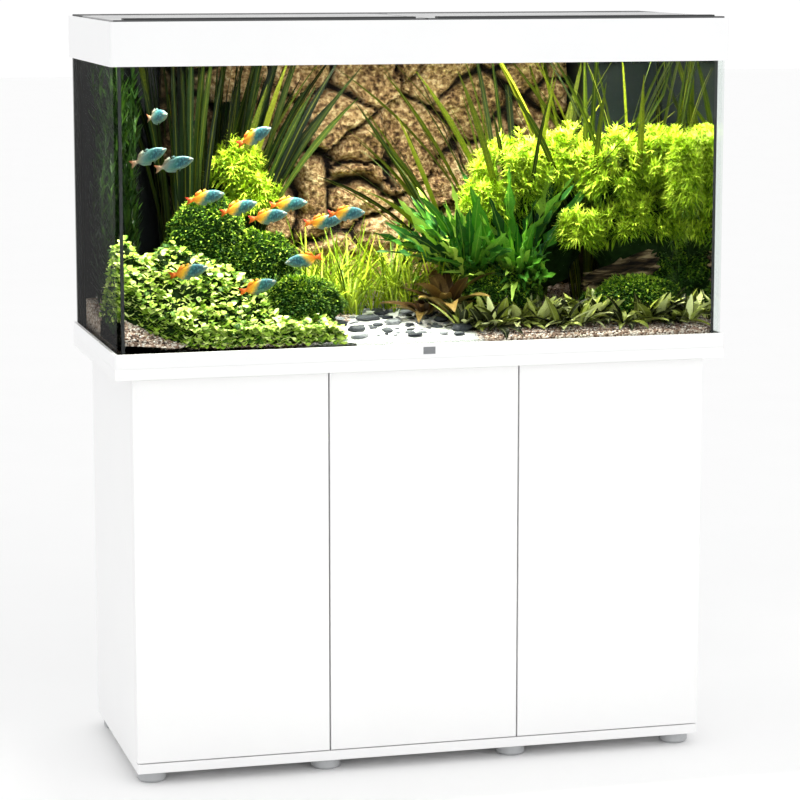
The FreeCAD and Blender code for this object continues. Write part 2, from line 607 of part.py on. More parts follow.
lugs = []
bores = []
FLAPS = {"left": (f"(0 - {HOOD_X})", "(0 - lid_gap)", -1), "right": (HOOD_X, "lid_gap", 1)}
for side, (outer, inner, sign) in FLAPS.items():
    # A flap's rear edge is round about the hinge axis. Lugs of the rear strip stand in its two notches.
    notches = []
    pins = []
    sockets = []
    for end, x, inward in (("outer", outer, -sign), ("inner", inner, sign)):
        tag = f"{side}_{end}"
        lug_x = between(x, f"({x} + {inward} * lug_width)", inward)
        notch_x = between(f"({x} - {inward} * lid_gap)", f"({x} + {inward} * (lug_width + lug_gap))", inward)
        lugs.append(box(f"lug_{tag}", lug_x, (f"{HINGE_Y} - lug_reach", STRIP_FRONT), LID_Z))
        bores.append(rod(f"lug_bore_{tag}", "flap_pin_radius + hole_clearance", "lug_width",
                         (lug_x[0], HINGE_Y, LID_MIDDLE), "x"))
        notches.append(box(f"notch_{tag}", notch_x,
                           (f"{HINGE_Y} - lug_reach - lug_gap", f"{HINGE_Y} + lid_thickness"),
                           (f"{LEDGE_TOP} - 1", f"{LEDGE_TOP} + lid_thickness + 1")))
        pin_x = f"({x} + 1)" if inward > 0 else f"({x} - 1 - flap_pin_length)"
        for name, made in (("pin", pins), ("socket", sockets)):
            made.append(rod(f"flap_{name}_{tag}", "flap_pin_radius", "flap_pin_length",
                            (pin_x, HINGE_Y, LID_MIDDLE), "x"))
    flap_x = between(outer, inner, -sign)
    leaf = box(f"leaf_{side}", flap_x, (f"-{HOOD_Y}", HINGE_Y), LID_Z)
    heel = rod(f"heel_{side}", "lid_thickness / 2", f"{flap_x[1]} - ({flap_x[0]})",
               (flap_x[0], HINGE_Y, LID_MIDDLE), "x")
    solid = fuse(f"flap_solid_{side}", [leaf, heel])
    node(cut(f"flap_{side}", solid, notches + sockets), f"lid_flap_{side}")
    node(group(f"flap_pins_{side}", pins), f"flap_hinge_pins_{side}")
    grip = slab(f"grip_{side}", (f"{flap_x[0]} + grip_margin", f"{flap_x[1]} - grip_margin"),
                (f"-{HOOD_Y}", f"grip_width - {HOOD_Y}"), (LID_Z[1], f"{LID_Z[1]} + grip_height"), "edge_radius")
    node(grip, f"flap_grip_{side}")
node(cut("strip_cut", fuse("strip_solid", [strip] + lugs), slots + bores), "lid_rear_strip")

# ---------------------------------------------------------------- light bar

LIGHT_TOP = f"({LEDGE_TOP} - light_drop)"
LIGHT_BOTTOM = f"({LIGHT_TOP} - light_height)"
LIGHT_END = f"({INSIDE_X} - light_end_gap)"
LIGHT_X = (f"-{LIGHT_END}", LIGHT_END)
TUBE_END = f"({LIGHT_END} - light_wall - cap_length)"
LIGHT_Y = ("light_shift - light_width / 2", "light_shift + light_width / 2")
TUBE_Z = f"({LIGHT_BOTTOM} + tube_radius + 2)"
shell = slab("light_shell", LIGHT_X, LIGHT_Y, (LIGHT_BOTTOM, LIGHT_TOP), "edge_radius")
hollow = box("light_hollow", (f"light_wall - {LIGHT_END}", f"{LIGHT_END} - light_wall"),
             (f"{LIGHT_Y[0]} + light_wall", f"{LIGHT_Y[1]} - light_wall"),
             (f"{LIGHT_BOTTOM} - 1", f"{LIGHT_TOP} - light_wall"))
node(cut("light_cut", shell, [hollow]), "light_housing")
tubes = []
caps = []
for line, offset in (("front", "-tube_pitch / 2"), ("rear", "tube_pitch / 2")):
    tubes.append(rod(f"tube_{line}", "tube_radius", f"2 * {TUBE_END}",
                     (f"-{TUBE_END}", f"light_shift + {offset}", TUBE_Z), "x"))
for side, cap_x in (("left", (f"light_wall - {LIGHT_END}", f"-{TUBE_END}")),
                    ("right", (TUBE_END, f"{LIGHT_END} - light_wall"))):
    caps.append(box(f"cap_{side}", cap_x, (f"{LIGHT_Y[0]} + light_wall + 1", f"{LIGHT_Y[1]} - light_wall - 1"),
                    (LIGHT_BOTTOM, f"{LIGHT_TOP} - light_wall")))
node(group("tubes", tubes), "light_tubes")
node(group("caps", caps), "light_end_caps")
brackets = []
for side, sign in (("left", -1), ("right", 1)):
    end = f"({sign} * {LIGHT_END})"
    y = ("light_shift - bracket_width / 2", "light_shift + bracket_width / 2")
    web = box(f"bracket_web_{side}", between(end, f"({end} + {sign} * bracket_thickness)", sign), y,
              (LIGHT_BOTTOM, GLASS_TOP))
    foot = box(f"bracket_foot_{side}", between(end, f"({sign} * ({INSIDE_X} - bracket_play))", sign), y,
               (f"{GLASS_TOP} - bracket_thickness", GLASS_TOP))
    brackets.append(fuse(f"bracket_{side}", [web, foot]))
node(group("brackets", brackets), "light_brackets")

# ---------------------------------------------------------------- internal filter

FILTER_X = (f"({INSIDE_X} - seam - rest_gap - filter_width)", f"({INSIDE_X} - seam - rest_gap)")
FILTER_Y = (f"({INSIDE_Y} - seam - rest_gap - filter_depth)", f"({INSIDE_Y} - seam - rest_gap)")
FILTER_TOP = f"({LEDGE_TOP} - filter_top_gap)"
FILTER_BOTTOM = f"({FILTER_TOP} - filter_height)"
FILTER_MIDDLE_X = f"({FILTER_X[0]} + filter_width / 2)"
filter_solid = slab("filter_solid", FILTER_X, FILTER_Y, (FILTER_BOTTOM, FILTER_TOP), "edge_radius")
cavity = box("filter_cavity", (f"{FILTER_X[0]} + filter_wall", f"{FILTER_X[1]} - filter_wall"),
             (f"{FILTER_Y[0]} + filter_wall", f"{FILTER_Y[1]} - filter_wall"),
             (f"{FILTER_BOTTOM} + filter_wall", f"{FILTER_TOP} + 1"))
SLOT_COLUMNS = 12
slot_cuts = []
for line, level in (("upper", f"({FILTER_TOP} - 57)"), ("lower", f"({FILTER_TOP} - 70)"),
                    ("foot", f"({FILTER_BOTTOM} + 40)")):
    for column in range(SLOT_COLUMNS):
        x = f"({FILTER_X[0]} + 25 + {column} * slot_pitch)"
        slot_cuts.append(box(f"slot_{line}_{column}", (x, f"{x} + slot_width"),
                             (f"{FILTER_Y[0]} - 1", f"{FILTER_Y[0]} + filter_wall + 1"),
                             (level, f"{level} + slot_height")))
NOZZLE_Z = f"({FILTER_TOP} - 26)"
NOZZLE_START = f"({FILTER_Y[0]} - nozzle_reach)"
outlet = rod("outlet_hole", "nozzle_radius + hole_clearance", "filter_wall + 2",
             (FILTER_MIDDLE_X, f"{FILTER_Y[0]} - 1", NOZZLE_Z), "y")
node(cut("filter_cut", filter_solid, [cavity, outlet] + slot_cuts), "filter_box")

neck = rod("nozzle_neck", "nozzle_radius", "nozzle_reach + filter_wall + 4",
           (FILTER_MIDDLE_X, NOZZLE_START, NOZZLE_Z), "y")
spout = rod("nozzle_spout", "nozzle_radius", "nozzle_length",
            (f"{FILTER_MIDDLE_X} - nozzle_length", NOZZLE_START, NOZZLE_Z), "x")
knee = doc.addObject("Part::Sphere", "nozzle_knee")
bind(knee, Radius="nozzle_radius", Placement__Base__x=FILTER_MIDDLE_X, Placement__Base__y=NOZZLE_START,
     Placement__Base__z=NOZZLE_Z)
neck_bore = rod("nozzle_neck_bore", "nozzle_bore", "nozzle_reach + filter_wall + 5",
                (FILTER_MIDDLE_X, NOZZLE_START, NOZZLE_Z), "y")
spout_bore = rod("nozzle_spout_bore", "nozzle_bore", "nozzle_length + 1",
                 (f"{FILTER_MIDDLE_X} - nozzle_length - 1", NOZZLE_START, NOZZLE_Z), "x")
node(cut("nozzle", fuse("nozzle_solid", [neck, spout, knee]), [neck_bore, spout_bore]), "outlet_nozzle")

SPONGE_X = (f"{FILTER_X[0]} + filter_wall + 1", f"{FILTER_MIDDLE_X} + 20")
sponges = []
for layer in range(3):
    low = f"({FILTER_BOTTOM} + filter_wall + {layer} * (sponge_height + sponge_gap))"
    sponges.append(box(f"sponge_{layer}", SPONGE_X,
                       (f"{FILTER_Y[0]} + filter_wall + 1", f"{FILTER_Y[1]} - filter_wall - 1"),
                       (low, f"{low} + sponge_height")))
node(group("sponges", sponges), "filter_sponges")
node(rod("pump", "pump_radius", "pump_height",
         (FILTER_MIDDLE_X, f"{FILTER_Y[1]} - filter_wall - 4 - pump_radius", f"{FILTER_TOP} - pump_height - 45")),
     "filter_pump")
node(rod("heater_tube", "heater_radius", "heater_length",
         (f"{FILTER_X[1]} - filter_wall - 4 - heater_radius", f"{FILTER_Y[0]} + filter_depth / 2",
          f"{FILTER_BOTTOM} + filter_wall + 6")), "heater")

# ---------------------------------------------------------------- gravel, rock, wood, plants and fish

GRAVEL_X = f"({INSIDE_X} - seam - rest_gap)"
GRAVEL_Y = f"({INSIDE_Y} - seam - rest_gap)"
gravel = doc.addObject("PartDesign::Body", "gravel")
gravel_section = sketch_on(gravel, "gravel_section", "YZ_Plane", lift=f"-{GRAVEL_X}")
polygon(gravel_section, [(f"-{GRAVEL_Y}", TANK_FLOOR), (GRAVEL_Y, TANK_FLOOR),
                         (GRAVEL_Y, f"{TANK_FLOOR} + gravel_rear"), (f"-{GRAVEL_Y}", f"{TANK_FLOOR} + gravel_front")])
pad(gravel, gravel_section, f"2 * {GRAVEL_X}")
node(gravel, "gravel_bed")


def gravel_level(y):
    """Expression for the gravel's height at a distance y from the middle."""
    return f"({TANK_FLOOR} + gravel_front + (gravel_rear - gravel_front) * ({y} + {GRAVEL_Y}) / (2 * {GRAVEL_Y}))"


ROCK_BACK = f"({INSIDE_Y} - rest_gap)"
ROCK_LOW = f"({TANK_FLOOR} + gravel_rear + rest_gap)"
ROCK_LEFT = f"(rock_left_gap - {INSIDE_X})"
ROCK_RIGHT = f"({FILTER_X[0]} - rock_filter_gap)"
rocks = []
for number, (start, stop, share) in enumerate([(0, 0.33, 0.8), (0.33, 0.65, 1), (0.65, 1, 0.85)]):
    joint_gap = 0 if number == 2 else 1
    rocks.append(box(f"rock_{number}", (f"{ROCK_LEFT} + {start} * ({ROCK_RIGHT} - {ROCK_LEFT})",
                                        f"{ROCK_LEFT} + {stop} * ({ROCK_RIGHT} - {ROCK_LEFT}) - {joint_gap}"),
                     (f"{ROCK_BACK} - {share} * rock_thickness", ROCK_BACK),
                     (ROCK_LOW, f"{LEDGE_TOP} - rock_top_gap")))
node(group("rocks", rocks), "background_rock")


def egg(name, x, y, z, half_x, half_y, half_z):
    """An ellipsoid about a point, with its half size on each axis."""
    thing = doc.addObject("Part::Ellipsoid", name)
    bind(thing, Radius1=half_z, Radius2=half_x, Radius3=half_y)
    bind(thing, Placement__Base__x=x, Placement__Base__y=y, Placement__Base__z=z)
    return thing


def contents(name, label, rows):
    """Soft contents that stand on the gravel, placed by shares; their widths follow the tank's inside width."""
    things = []
    for number, (share_x, share_y, half_x, half_y, half_z) in enumerate(rows):
        x = f"({share_x} * {INSIDE_X})"
        y = f"({share_y} * {INSIDE_Y})"
        z = f"({gravel_level(f'({y} + {half_y})')} + rest_gap + {half_z})"
        half_width = f"{half_x} * 2 * {INSIDE_X} / planting_width"
        things.append(egg(f"{name}_{number}", x, y, z, half_width, half_y, half_z))
    return node(group(name, things), label)


# share of the half width, share of the half depth, half width, half depth, half height
contents("stones", "moss_stones", [
    (-0.64, 0.02, 52, 52, 116), (-0.475, -0.20, 50, 48, 85), (-0.34, -0.52, 55, 40, 47),
    (0.33, -0.34, 60, 45, 46), (0.79, -0.50, 80, 44, 46), (0.91, -0.04, 46, 40, 60),
])
contents("left_plants", "plants_left", [
    (-0.89, 0.42, 42, 75, 240), (-0.66, 0.48, 40, 46, 235), (-0.44, 0.42, 45, 42, 165), (-0.86, -0.50, 55, 60, 42),
    (-0.52, -0.64, 42, 36, 22),
])
contents("right_plants", "plants_right", [
    (0.16, 0.20, 42, 42, 90), (0.44, 0.42, 45, 50, 200), (0.60, 0.0, 50, 50, 165), (0.80, 0.18, 42, 38, 150),
])

wood_x = f"(0.65 * {INSIDE_X})"
wood_y = f"(-0.24 * {INSIDE_Y})"
trunk = doc.addObject("Part::Cone", "trunk")
bind(trunk, Radius1="15", Radius2="9", Height="185")
trunk.Placement = FreeCAD.Placement(Vector(), FreeCAD.Rotation(Vector(0, 1, 0), 56))
bind(trunk, Placement__Base__x=wood_x, Placement__Base__y=wood_y, Placement__Base__z=f"{gravel_level(wood_y)} + 18")
branch = doc.addObject("Part::Cone", "branch")
bind(branch, Radius1="9", Radius2="4", Height="70")
branch.Placement = FreeCAD.Placement(Vector(), FreeCAD.Rotation(Vector(0, 1, 0), 80))
bind(branch, Placement__Base__x=f"{wood_x} + 60", Placement__Base__y=wood_y,
     Placement__Base__z=f"{gravel_level(wood_y)} + 62")
node(fuse("wood", [trunk, branch]), "driftwood")

# Thirteen small fish in one shoal: shares of the half width and half depth, height as a share of the water.
SHOAL = [
    (-0.88, -0.34, 0.718), (-0.93, -0.50, 0.598), (-0.85, -0.58, 0.577), (-0.55, -0.42, 0.653), (-0.72, -0.30, 0.465),
    (-0.59, -0.25, 0.427), (-0.50, -0.42, 0.405), (-0.41, -0.17, 0.434), (-0.30, -0.34, 0.382), (-0.23, -0.48, 0.411),
    (-0.39, -0.58, 0.274), (-0.81, -0.62, 0.248), (-0.56, -0.62, 0.195),
]
fish = []
for number, (share_x, share_y, share_z) in enumerate(SHOAL):
    fish.append(egg(f"fish_{number}", f"({share_x} * ({INSIDE_X} - fish_length / 2))", f"({share_y} * {INSIDE_Y})",
                    f"({TANK_FLOOR} + {share_z} * ({GLASS_TOP} - {TANK_FLOOR}))",
                    "fish_length / 2", "fish_thickness / 2", "fish_height / 2"))
node(group("shoal", fish), "fish")

# ---------------------------------------------------------------- check and write

doc.recompute()
failed = [thing.Name for thing in doc.Objects if {"Invalid", "Error"} & set(thing.State)]
if failed:
    raise RuntimeError(f"objects that failed: {failed}")
for thing in nodes:
    if thing.Shape.isNull() or not thing.Shape.isValid() or not thing.Shape.Solids:
        raise RuntimeError(f"{thing.Label}: no valid solid")

os.makedirs("parts", exist_ok=True)
for thing in nodes:
    thing.Shape.exportStep(f"parts/{thing.Label}.step")
print(f"{len(nodes)} sub-parts written")
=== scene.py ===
import math
import bpy
import numpy as np
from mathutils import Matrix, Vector, noise


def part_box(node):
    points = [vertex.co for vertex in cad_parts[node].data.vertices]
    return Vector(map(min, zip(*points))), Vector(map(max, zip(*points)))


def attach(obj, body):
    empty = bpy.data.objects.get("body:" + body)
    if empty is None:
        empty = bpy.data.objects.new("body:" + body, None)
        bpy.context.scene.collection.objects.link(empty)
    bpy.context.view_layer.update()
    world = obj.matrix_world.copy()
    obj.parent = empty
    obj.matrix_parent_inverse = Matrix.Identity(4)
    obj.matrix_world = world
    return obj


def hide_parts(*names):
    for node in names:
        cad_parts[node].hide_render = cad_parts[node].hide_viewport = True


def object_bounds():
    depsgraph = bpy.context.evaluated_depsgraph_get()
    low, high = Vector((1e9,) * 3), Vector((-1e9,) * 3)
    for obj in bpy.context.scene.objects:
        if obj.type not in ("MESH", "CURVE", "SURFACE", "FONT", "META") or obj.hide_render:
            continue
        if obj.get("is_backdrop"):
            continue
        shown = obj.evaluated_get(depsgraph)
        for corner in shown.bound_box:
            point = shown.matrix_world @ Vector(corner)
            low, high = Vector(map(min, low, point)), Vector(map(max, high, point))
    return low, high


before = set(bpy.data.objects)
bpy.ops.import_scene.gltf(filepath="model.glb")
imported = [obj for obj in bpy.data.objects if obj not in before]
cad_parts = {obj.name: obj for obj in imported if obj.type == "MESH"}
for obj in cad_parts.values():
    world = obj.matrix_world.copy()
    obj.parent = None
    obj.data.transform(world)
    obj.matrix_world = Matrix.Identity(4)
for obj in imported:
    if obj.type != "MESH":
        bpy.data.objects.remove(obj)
cad_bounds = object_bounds()

# The cabinet: chipboard faced with white melamine, its boards dowelled together. The doors
# are the same board with lipped edges. The facing has a fine pressed grain and a soft sheen.


class Value:
    """A socket in a material, so that masks add and multiply as numbers do."""

    def __init__(self, output):
        self.output = output

    def node(self, kind, settings, inputs, output=0):
        """Adds a node: its settings first, then the values or links of its sockets."""
        made = self.output.id_data.nodes.new(kind)
        for name, value in settings.items():
            if name == "stops":
                for stop in range(len(value) - len(made.color_ramp.elements)):
                    made.color_ramp.elements.new(1.0)
                for element, (place, colour) in zip(made.color_ramp.elements, value):
                    element.position = place
                    element.color = (*colour, 1.0)
            else:
                setattr(made, name, value)
        for name, value in inputs.items():
            if isinstance(value, Value):
                value.feed(made.inputs[name])
            else:
                made.inputs[name].default_value = value
        return Value(made.outputs[output])

    def feed(self, socket):
        self.output.id_data.links.new(self.output, socket)

    def axis(self, number):
        """One number of a place: 0, 1 or 2 for X, Y or Z."""
        return self.node("ShaderNodeSeparateXYZ", {}, {"Vector": self}, number)

    def scaled(self, x, y, z):
        """A place stretched, so that a pattern on it runs finer by these."""
        return self.node("ShaderNodeMapping", {}, {"Vector": self, "Scale": (x, y, z)})

    def maths(self, operation, other=0.0):
        return self.node("ShaderNodeMath", {"operation": operation}, {0: self, 1: other})

    def clamped(self, low, high):
        return self.maths("MAXIMUM", low).maths("MINIMUM", high)

    def __add__(self, other):
        return self.maths("ADD", other)

    def __sub__(self, other):
        return self.maths("SUBTRACT", other)

    def __rsub__(self, other):
        return self.node("ShaderNodeMath", {"operation": "SUBTRACT"}, {0: other, 1: self})

    def __mul__(self, other):
        return self.maths("MULTIPLY", other)

    def __truediv__(self, other):
        return self.maths("DIVIDE", other)

    def __gt__(self, other):
        return self.maths("GREATER_THAN", other)

    def __lt__(self, other):
        return self.maths("LESS_THAN", other)

    __radd__ = __add__
    __rmul__ = __mul__


def noise_of(place, scale, detail=3.0):
    """Soft noise from 0 to 1, with this many lumps to the metre."""
    return place.node("ShaderNodeTexNoise", {}, {"Vector": place, "Scale": scale, "Detail": detail})


def cells_of(place, scale, output=0):
    """Cells, this many to the metre: how far off a cell's middle is, or as output 1 its colour."""
    return place.node("ShaderNodeTexVoronoi", {}, {"Vector": place, "Scale": scale}, output)


def mixed(mask, first, second):
    """The first colour where the mask is 0, and the second where it is 1."""
    sockets = {0: mask, 6: first, 7: second}
    for name in (6, 7):
        if isinstance(sockets[name], tuple):
            sockets[name] = (*sockets[name], 1.0)
    return mask.node("ShaderNodeMix", {"data_type": "RGBA"}, sockets, 2)


def ramp_of(mask, stops):
    """Colours along a mask."""
    return mask.node("ShaderNodeValToRGB", {"stops": stops}, {0: mask})


def raised(height, distance, strength=1.0):
    """The normals of a surface with this height, whose highest point stands distance proud."""
    inputs = {"Height": height, "Distance": distance, "Strength": strength}
    return height.node("ShaderNodeBump", {}, inputs)


def finish_named(name, constants):
    """A new material with these values on its shader: the material, its shader, its place."""
    material = bpy.data.materials.new(name)
    material.use_nodes = True
    shader = material.node_tree.nodes["Principled BSDF"]
    for socket, value in constants.items():
        shader.inputs[socket].default_value = value
    place = Value(material.node_tree.nodes.new("ShaderNodeTexCoord").outputs["Object"])
    return material, shader.inputs, place


def moulded(name, dark, light, roughness, grain, distance, metallic=0.0, gloss=0.5):
    """A moulded or rolled surface: two near shades in soft patches, over a fine grain."""
    material, shader, place = finish_named(name, {"Metallic": metallic, "Specular IOR Level": gloss})
    patches = noise_of(place, 7.0)
    mixed(patches, dark, light).feed(shader["Base Color"])
    (roughness + (patches - 0.5) * 0.12).feed(shader["Roughness"])
    raised(noise_of(place, grain, 2.0), distance, 0.5).feed(shader["Normal"])
    return material


def dress(material, *names):
    """Gives CAD pieces a material."""
    for name in names:
        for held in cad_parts[name].material_slots:
            held.material = material


sides = ("left", "middle", "right")
melamine = moulded("white_melamine", (0.87, 0.87, 0.875), (0.905, 0.905, 0.905), 0.42, 900.0, 0.00006)
dress(melamine, "side_panel_left", "side_panel_right", "cabinet_bottom_board", "cabinet_top_board")
dress(melamine, "divider_left", "divider_right", "shelf_left", "shelf_right", "back_panel")
dress(melamine, *[f"door_{side}" for side in sides])

# The dowels in the carcass: turned beech pegs with a fine long grain. Each sits partly in one
# board and partly in the next.

beech, beech_shader, beech_place = finish_named("beech_dowel", {"Roughness": 0.62})
rings = beech_place.node("ShaderNodeTexWave", {}, {"Vector": beech_place, "Scale": 60.0, "Distortion": 6.0})
mixed(rings, (0.52, 0.33, 0.17), (0.68, 0.47, 0.27)).feed(beech_shader["Base Color"])
raised(rings, 0.0001).feed(beech_shader["Normal"])
dress(beech, "carcass_dowels")

# The feet, the push latches and their plungers: moulded grey plastic, with a spark-eroded
# grain. The feet are round pucks, each with a stud up into the bottom board.

grey_plastic = moulded("grey_plastic", (0.40, 0.41, 0.42), (0.50, 0.51, 0.52), 0.5, 1400.0, 0.00008)
dress(grey_plastic, "feet", "push_latches", *[f"latch_plunger_{side}" for side in sides])

# The concealed hinges, the shelf pins and the lids' hinge pins: pressed and turned steel,
# nickel plated, with faint rolling marks.

nickel = moulded("nickel_plate", (0.50, 0.49, 0.47), (0.64, 0.63, 0.61), 0.28, 500.0, 0.00003, 1.0)
dress(nickel, "hinge_arms", "shelf_pins", "flap_hinge_pins_left", "flap_hinge_pins_right")
dress(nickel, *[f"hinge_cups_{side}" for side in sides], *[f"hinge_links_{side}" for side in sides])

# The base frame that the tank stands in, and the top frame that its lids drop into: white
# injection-moulded plastic, glossier than the boards, with a fine even texture.

white_plastic = moulded("white_plastic", (0.86, 0.865, 0.87), (0.90, 0.90, 0.905), 0.33, 1100.0, 0.00005)
dress(white_plastic, "base_frame", "top_frame")

# The small plate let into the front of the base frame: cut from thin metal sheet, brushed
# lengthways and left plain.

brushed, brushed_shader, brushed_place = finish_named("brushed_plate", {"Metallic": 0.8})
brushing = noise_of(brushed_place.scaled(60.0, 60.0, 2400.0), 1.0, 2.0)
mixed(brushing, (0.16, 0.165, 0.17), (0.32, 0.33, 0.34)).feed(brushed_shader["Base Color"])
(0.3 + brushing * 0.2).feed(brushed_shader["Roughness"])
raised(brushing, 0.00003).feed(brushed_shader["Normal"])
dress(brushed, "badge_plate")

# The tank: float glass with ground edges, glued with black silicone. The rear pane has a
# black film on the back of it, so it reads as a dark wall.


def glass_named(name, tint, mirror, wet_side=None):
    """Clear sheet glass. It mirrors more as it is seen from the side, and on the face that
    stands in the water it mirrors all that reaches it too flat to leave."""
    material, shader, place = finish_named(name, {})
    tree = material.node_tree
    tree.nodes.remove(tree.nodes["Principled BSDF"])
    clear = place.node("ShaderNodeBsdfTransparent", {}, {"Color": (*tint, 1.0)})
    smears = noise_of(place, 9.0)
    gloss = place.node("ShaderNodeBsdfGlossy", {}, {"Color": (1.0, 1.0, 1.0, 1.0)})
    (0.02 + smears * 0.03).feed(gloss.output.node.inputs["Roughness"])
    share = (place.node("ShaderNodeFresnel", {}, {"IOR": 1.45}) - 0.034) * mirror
    if wet_side is not None:
        wet = 1.0 - (place.axis(0).maths("ABSOLUTE") > wet_side)
        held_in = place.node("ShaderNodeFresnel", {}, {"IOR": 1.0 / 1.33}).maths("POWER", 8.0)
        share = share + (held_in - share) * wet
    sheet = share.node("ShaderNodeMixShader", {}, {0: share, 1: clear, 2: gloss})
    sheet.feed(tree.nodes["Material Output"].inputs["Surface"])
    return material


pane_tint = (0.955, 0.975, 0.965)
pane_mirror = 0.08
dress(glass_named("float_glass", pane_tint, pane_mirror), "glass_front", "glass_bottom", "cross_brace")
wet_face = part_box("glass_right")[0].x + 0.001
dress(glass_named("side_glass", pane_tint, pane_mirror, wet_face), "glass_left", "glass_right")
film = moulded("black_film", (0.004, 0.005, 0.006), (0.007, 0.008, 0.010), 0.22, 60.0, 0.00004)
dress(film, "glass_back")
silicone = moulded("black_silicone", (0.008, 0.009, 0.010), (0.016, 0.017, 0.018), 0.38, 300.0, 0.0001)
dress(silicone, "silicone_seams")

# The lids: two smoked plastic flaps with grip rails, and a fixed strip behind them. The flaps
# are polished, and the rails and the strip are matt black.

smoked = moulded("smoked_flap", (0.075, 0.078, 0.080), (0.10, 0.104, 0.107), 0.16, 30.0, 0.00006)
dress(smoked, "lid_flap_left", "lid_flap_right")
matt_black = moulded("matt_black", (0.016, 0.016, 0.017), (0.030, 0.030, 0.031), 0.5, 900.0, 0.0001)
dress(matt_black, "lid_rear_strip", "flap_grip_left", "flap_grip_right", "light_end_caps")
dress(matt_black, "outlet_nozzle", "filter_pump", "light_brackets")

# The light bar under the lids: a drawn aluminium housing over two fluorescent tubes. They
# are lit, and their coating glows a warm white.

drawn = moulded("drawn_aluminium", (0.56, 0.565, 0.57), (0.68, 0.68, 0.685), 0.3, 450.0, 0.00003, 1.0)
dress(drawn, "light_housing")
tube, tube_shader, tube_place = finish_named("lit_tube", {"Roughness": 0.3})
tube_shader["Emission Strength"].default_value = 6.0
phosphor = noise_of(tube_place, 30.0)
mixed(phosphor, (0.90, 0.90, 0.86), (0.96, 0.96, 0.93)).feed(tube_shader["Base Color"])
mixed(phosphor, (0.97, 0.98, 0.92), (1.0, 1.0, 0.96)).feed(tube_shader["Emission Color"])
dress(tube, "light_tubes")

# The filter in the rear corner: a dark moulded box with slots, round a pump, sponges and the
# glass heater. The sponges are open foam.

slate = moulded("slate_plastic", (0.006, 0.009, 0.010), (0.011, 0.016, 0.018), 0.55, 700.0, 0.0001, 0.0, 0.15)
dress(slate, "filter_box")
foam, foam_shader, foam_place = finish_named("filter_foam", {"Roughness": 0.95})
pores = cells_of(foam_place, 420.0)
mixed(pores, (0.03, 0.07, 0.10), (0.10, 0.24, 0.36)).feed(foam_shader["Base Color"])
raised(pores, 0.0015).feed(foam_shader["Normal"])
dress(foam, "filter_sponges")
heater = moulded("heater_tube", (0.10, 0.14, 0.13), (0.20, 0.26, 0.25), 0.12, 80.0, 0.00003)
dress(heater, "heater")

# The water: a still surface behind the top frame, with the slow ripple of the filter's outlet,
# and the hollow that its jet holds open under the nozzle.

inside_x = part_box("glass_right")[0].x
inside_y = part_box("glass_back")[0].y
tank_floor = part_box("glass_bottom")[1].z
water_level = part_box("glass_back")[1].z - 0.055
root = "tank_and_cabinet"


def pick(*pieces):
    """Selects only these pieces, the first one active."""
    bpy.ops.object.select_all(action="DESELECT")
    for piece in pieces:
        piece.select_set(True)
        bpy.context.view_layer.objects.active = pieces[0]


def bare(add, **sizes):
    """Adds a primitive with nothing else selected."""
    pick()
    add(**sizes)
    return bpy.context.object


def edit(piece, choose, steps):
    """Runs edit-mode steps on the faces that choose picks by their normal."""
    bpy.context.view_layer.objects.active = piece
    bpy.ops.object.mode_set(mode="EDIT")
    bpy.ops.mesh.select_mode(type="FACE")
    bpy.ops.mesh.select_all(action="DESELECT")
    bpy.ops.object.mode_set(mode="OBJECT")
    for face in piece.data.polygons:
        face.select = choose(face.normal)
    bpy.ops.object.mode_set(mode="EDIT")
    steps()
    bpy.ops.object.mode_set(mode="OBJECT")


def points_of(piece):
    """A piece's points, as rows of x, y and z."""
    rows = np.zeros(len(piece.data.vertices) * 3)
    piece.data.vertices.foreach_get("co", rows)
    return rows.reshape(-1, 3)


def set_points(piece, rows):
    piece.data.vertices.foreach_set("co", rows.ravel())
    piece.data.update()


def settle(piece, name, material, node=""):
    """Names a finished piece, smooths it, gives it its material, and puts it on its body."""
    pick(piece)
    bpy.ops.object.transform_apply(location=True, rotation=True, scale=True)
    piece.name = name
    piece.data.name = name
    piece.data.materials.clear()
    piece.data.materials.append(material)
    piece.data.shade_smooth()
    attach(piece, root)
    if node:
        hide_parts(node)


def cut_up(piece, facing, cuts):
    """Cuts up fine the faces that look this way."""
    edit(piece, lambda normal: normal.dot(facing) > 0.9, lambda: bpy.ops.mesh.subdivide(number_cuts=cuts))


def slab_with_top(low, high, facing, cuts):
    """A box between two corners, with the one face that looks this way cut up fine."""
    piece = bare(bpy.ops.mesh.primitive_cube_add, size=1.0, location=(low + high) / 2)
    piece.scale = high - low
    bpy.ops.object.transform_apply(location=True, rotation=True, scale=True)
    cut_up(piece, facing, cuts)
    return piece


water_gap = 0.004
water_thick = 0.002
water_cuts = 110
up = Vector((0.0, 0.0, 1.0))
water_high = Vector((inside_x - water_gap, inside_y - water_gap, water_level))
water_low = Vector((-water_high.x, -water_high.y, water_level - water_thick))
water = slab_with_top(water_low, water_high, up, water_cuts)
cut_up(water, -up, water_cuts)
rows = points_of(water)
rows[:, 2] += 0.0008 * np.sin(rows[:, 0] * 55.0) * np.sin(rows[:, 1] * 48.0 + rows[:, 0] * 21.0)
spout_low, spout_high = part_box("outlet_nozzle")
spout_long = spout_high.x - spout_low.x
off_x = (rows[:, 0] - spout_low.x - 0.3 * spout_long) / spout_long
off_y = (rows[:, 1] - spout_low.y - 0.009) / 0.040
rows[:, 2] -= 0.5 * spout_long * np.clip(1.4 * (1.0 - np.hypot(off_x, off_y)), 0.0, 1.0)
set_points(water, rows)
settle(water, "water_surface", glass_named("still_water", (0.98, 0.99, 0.985), 0.8))
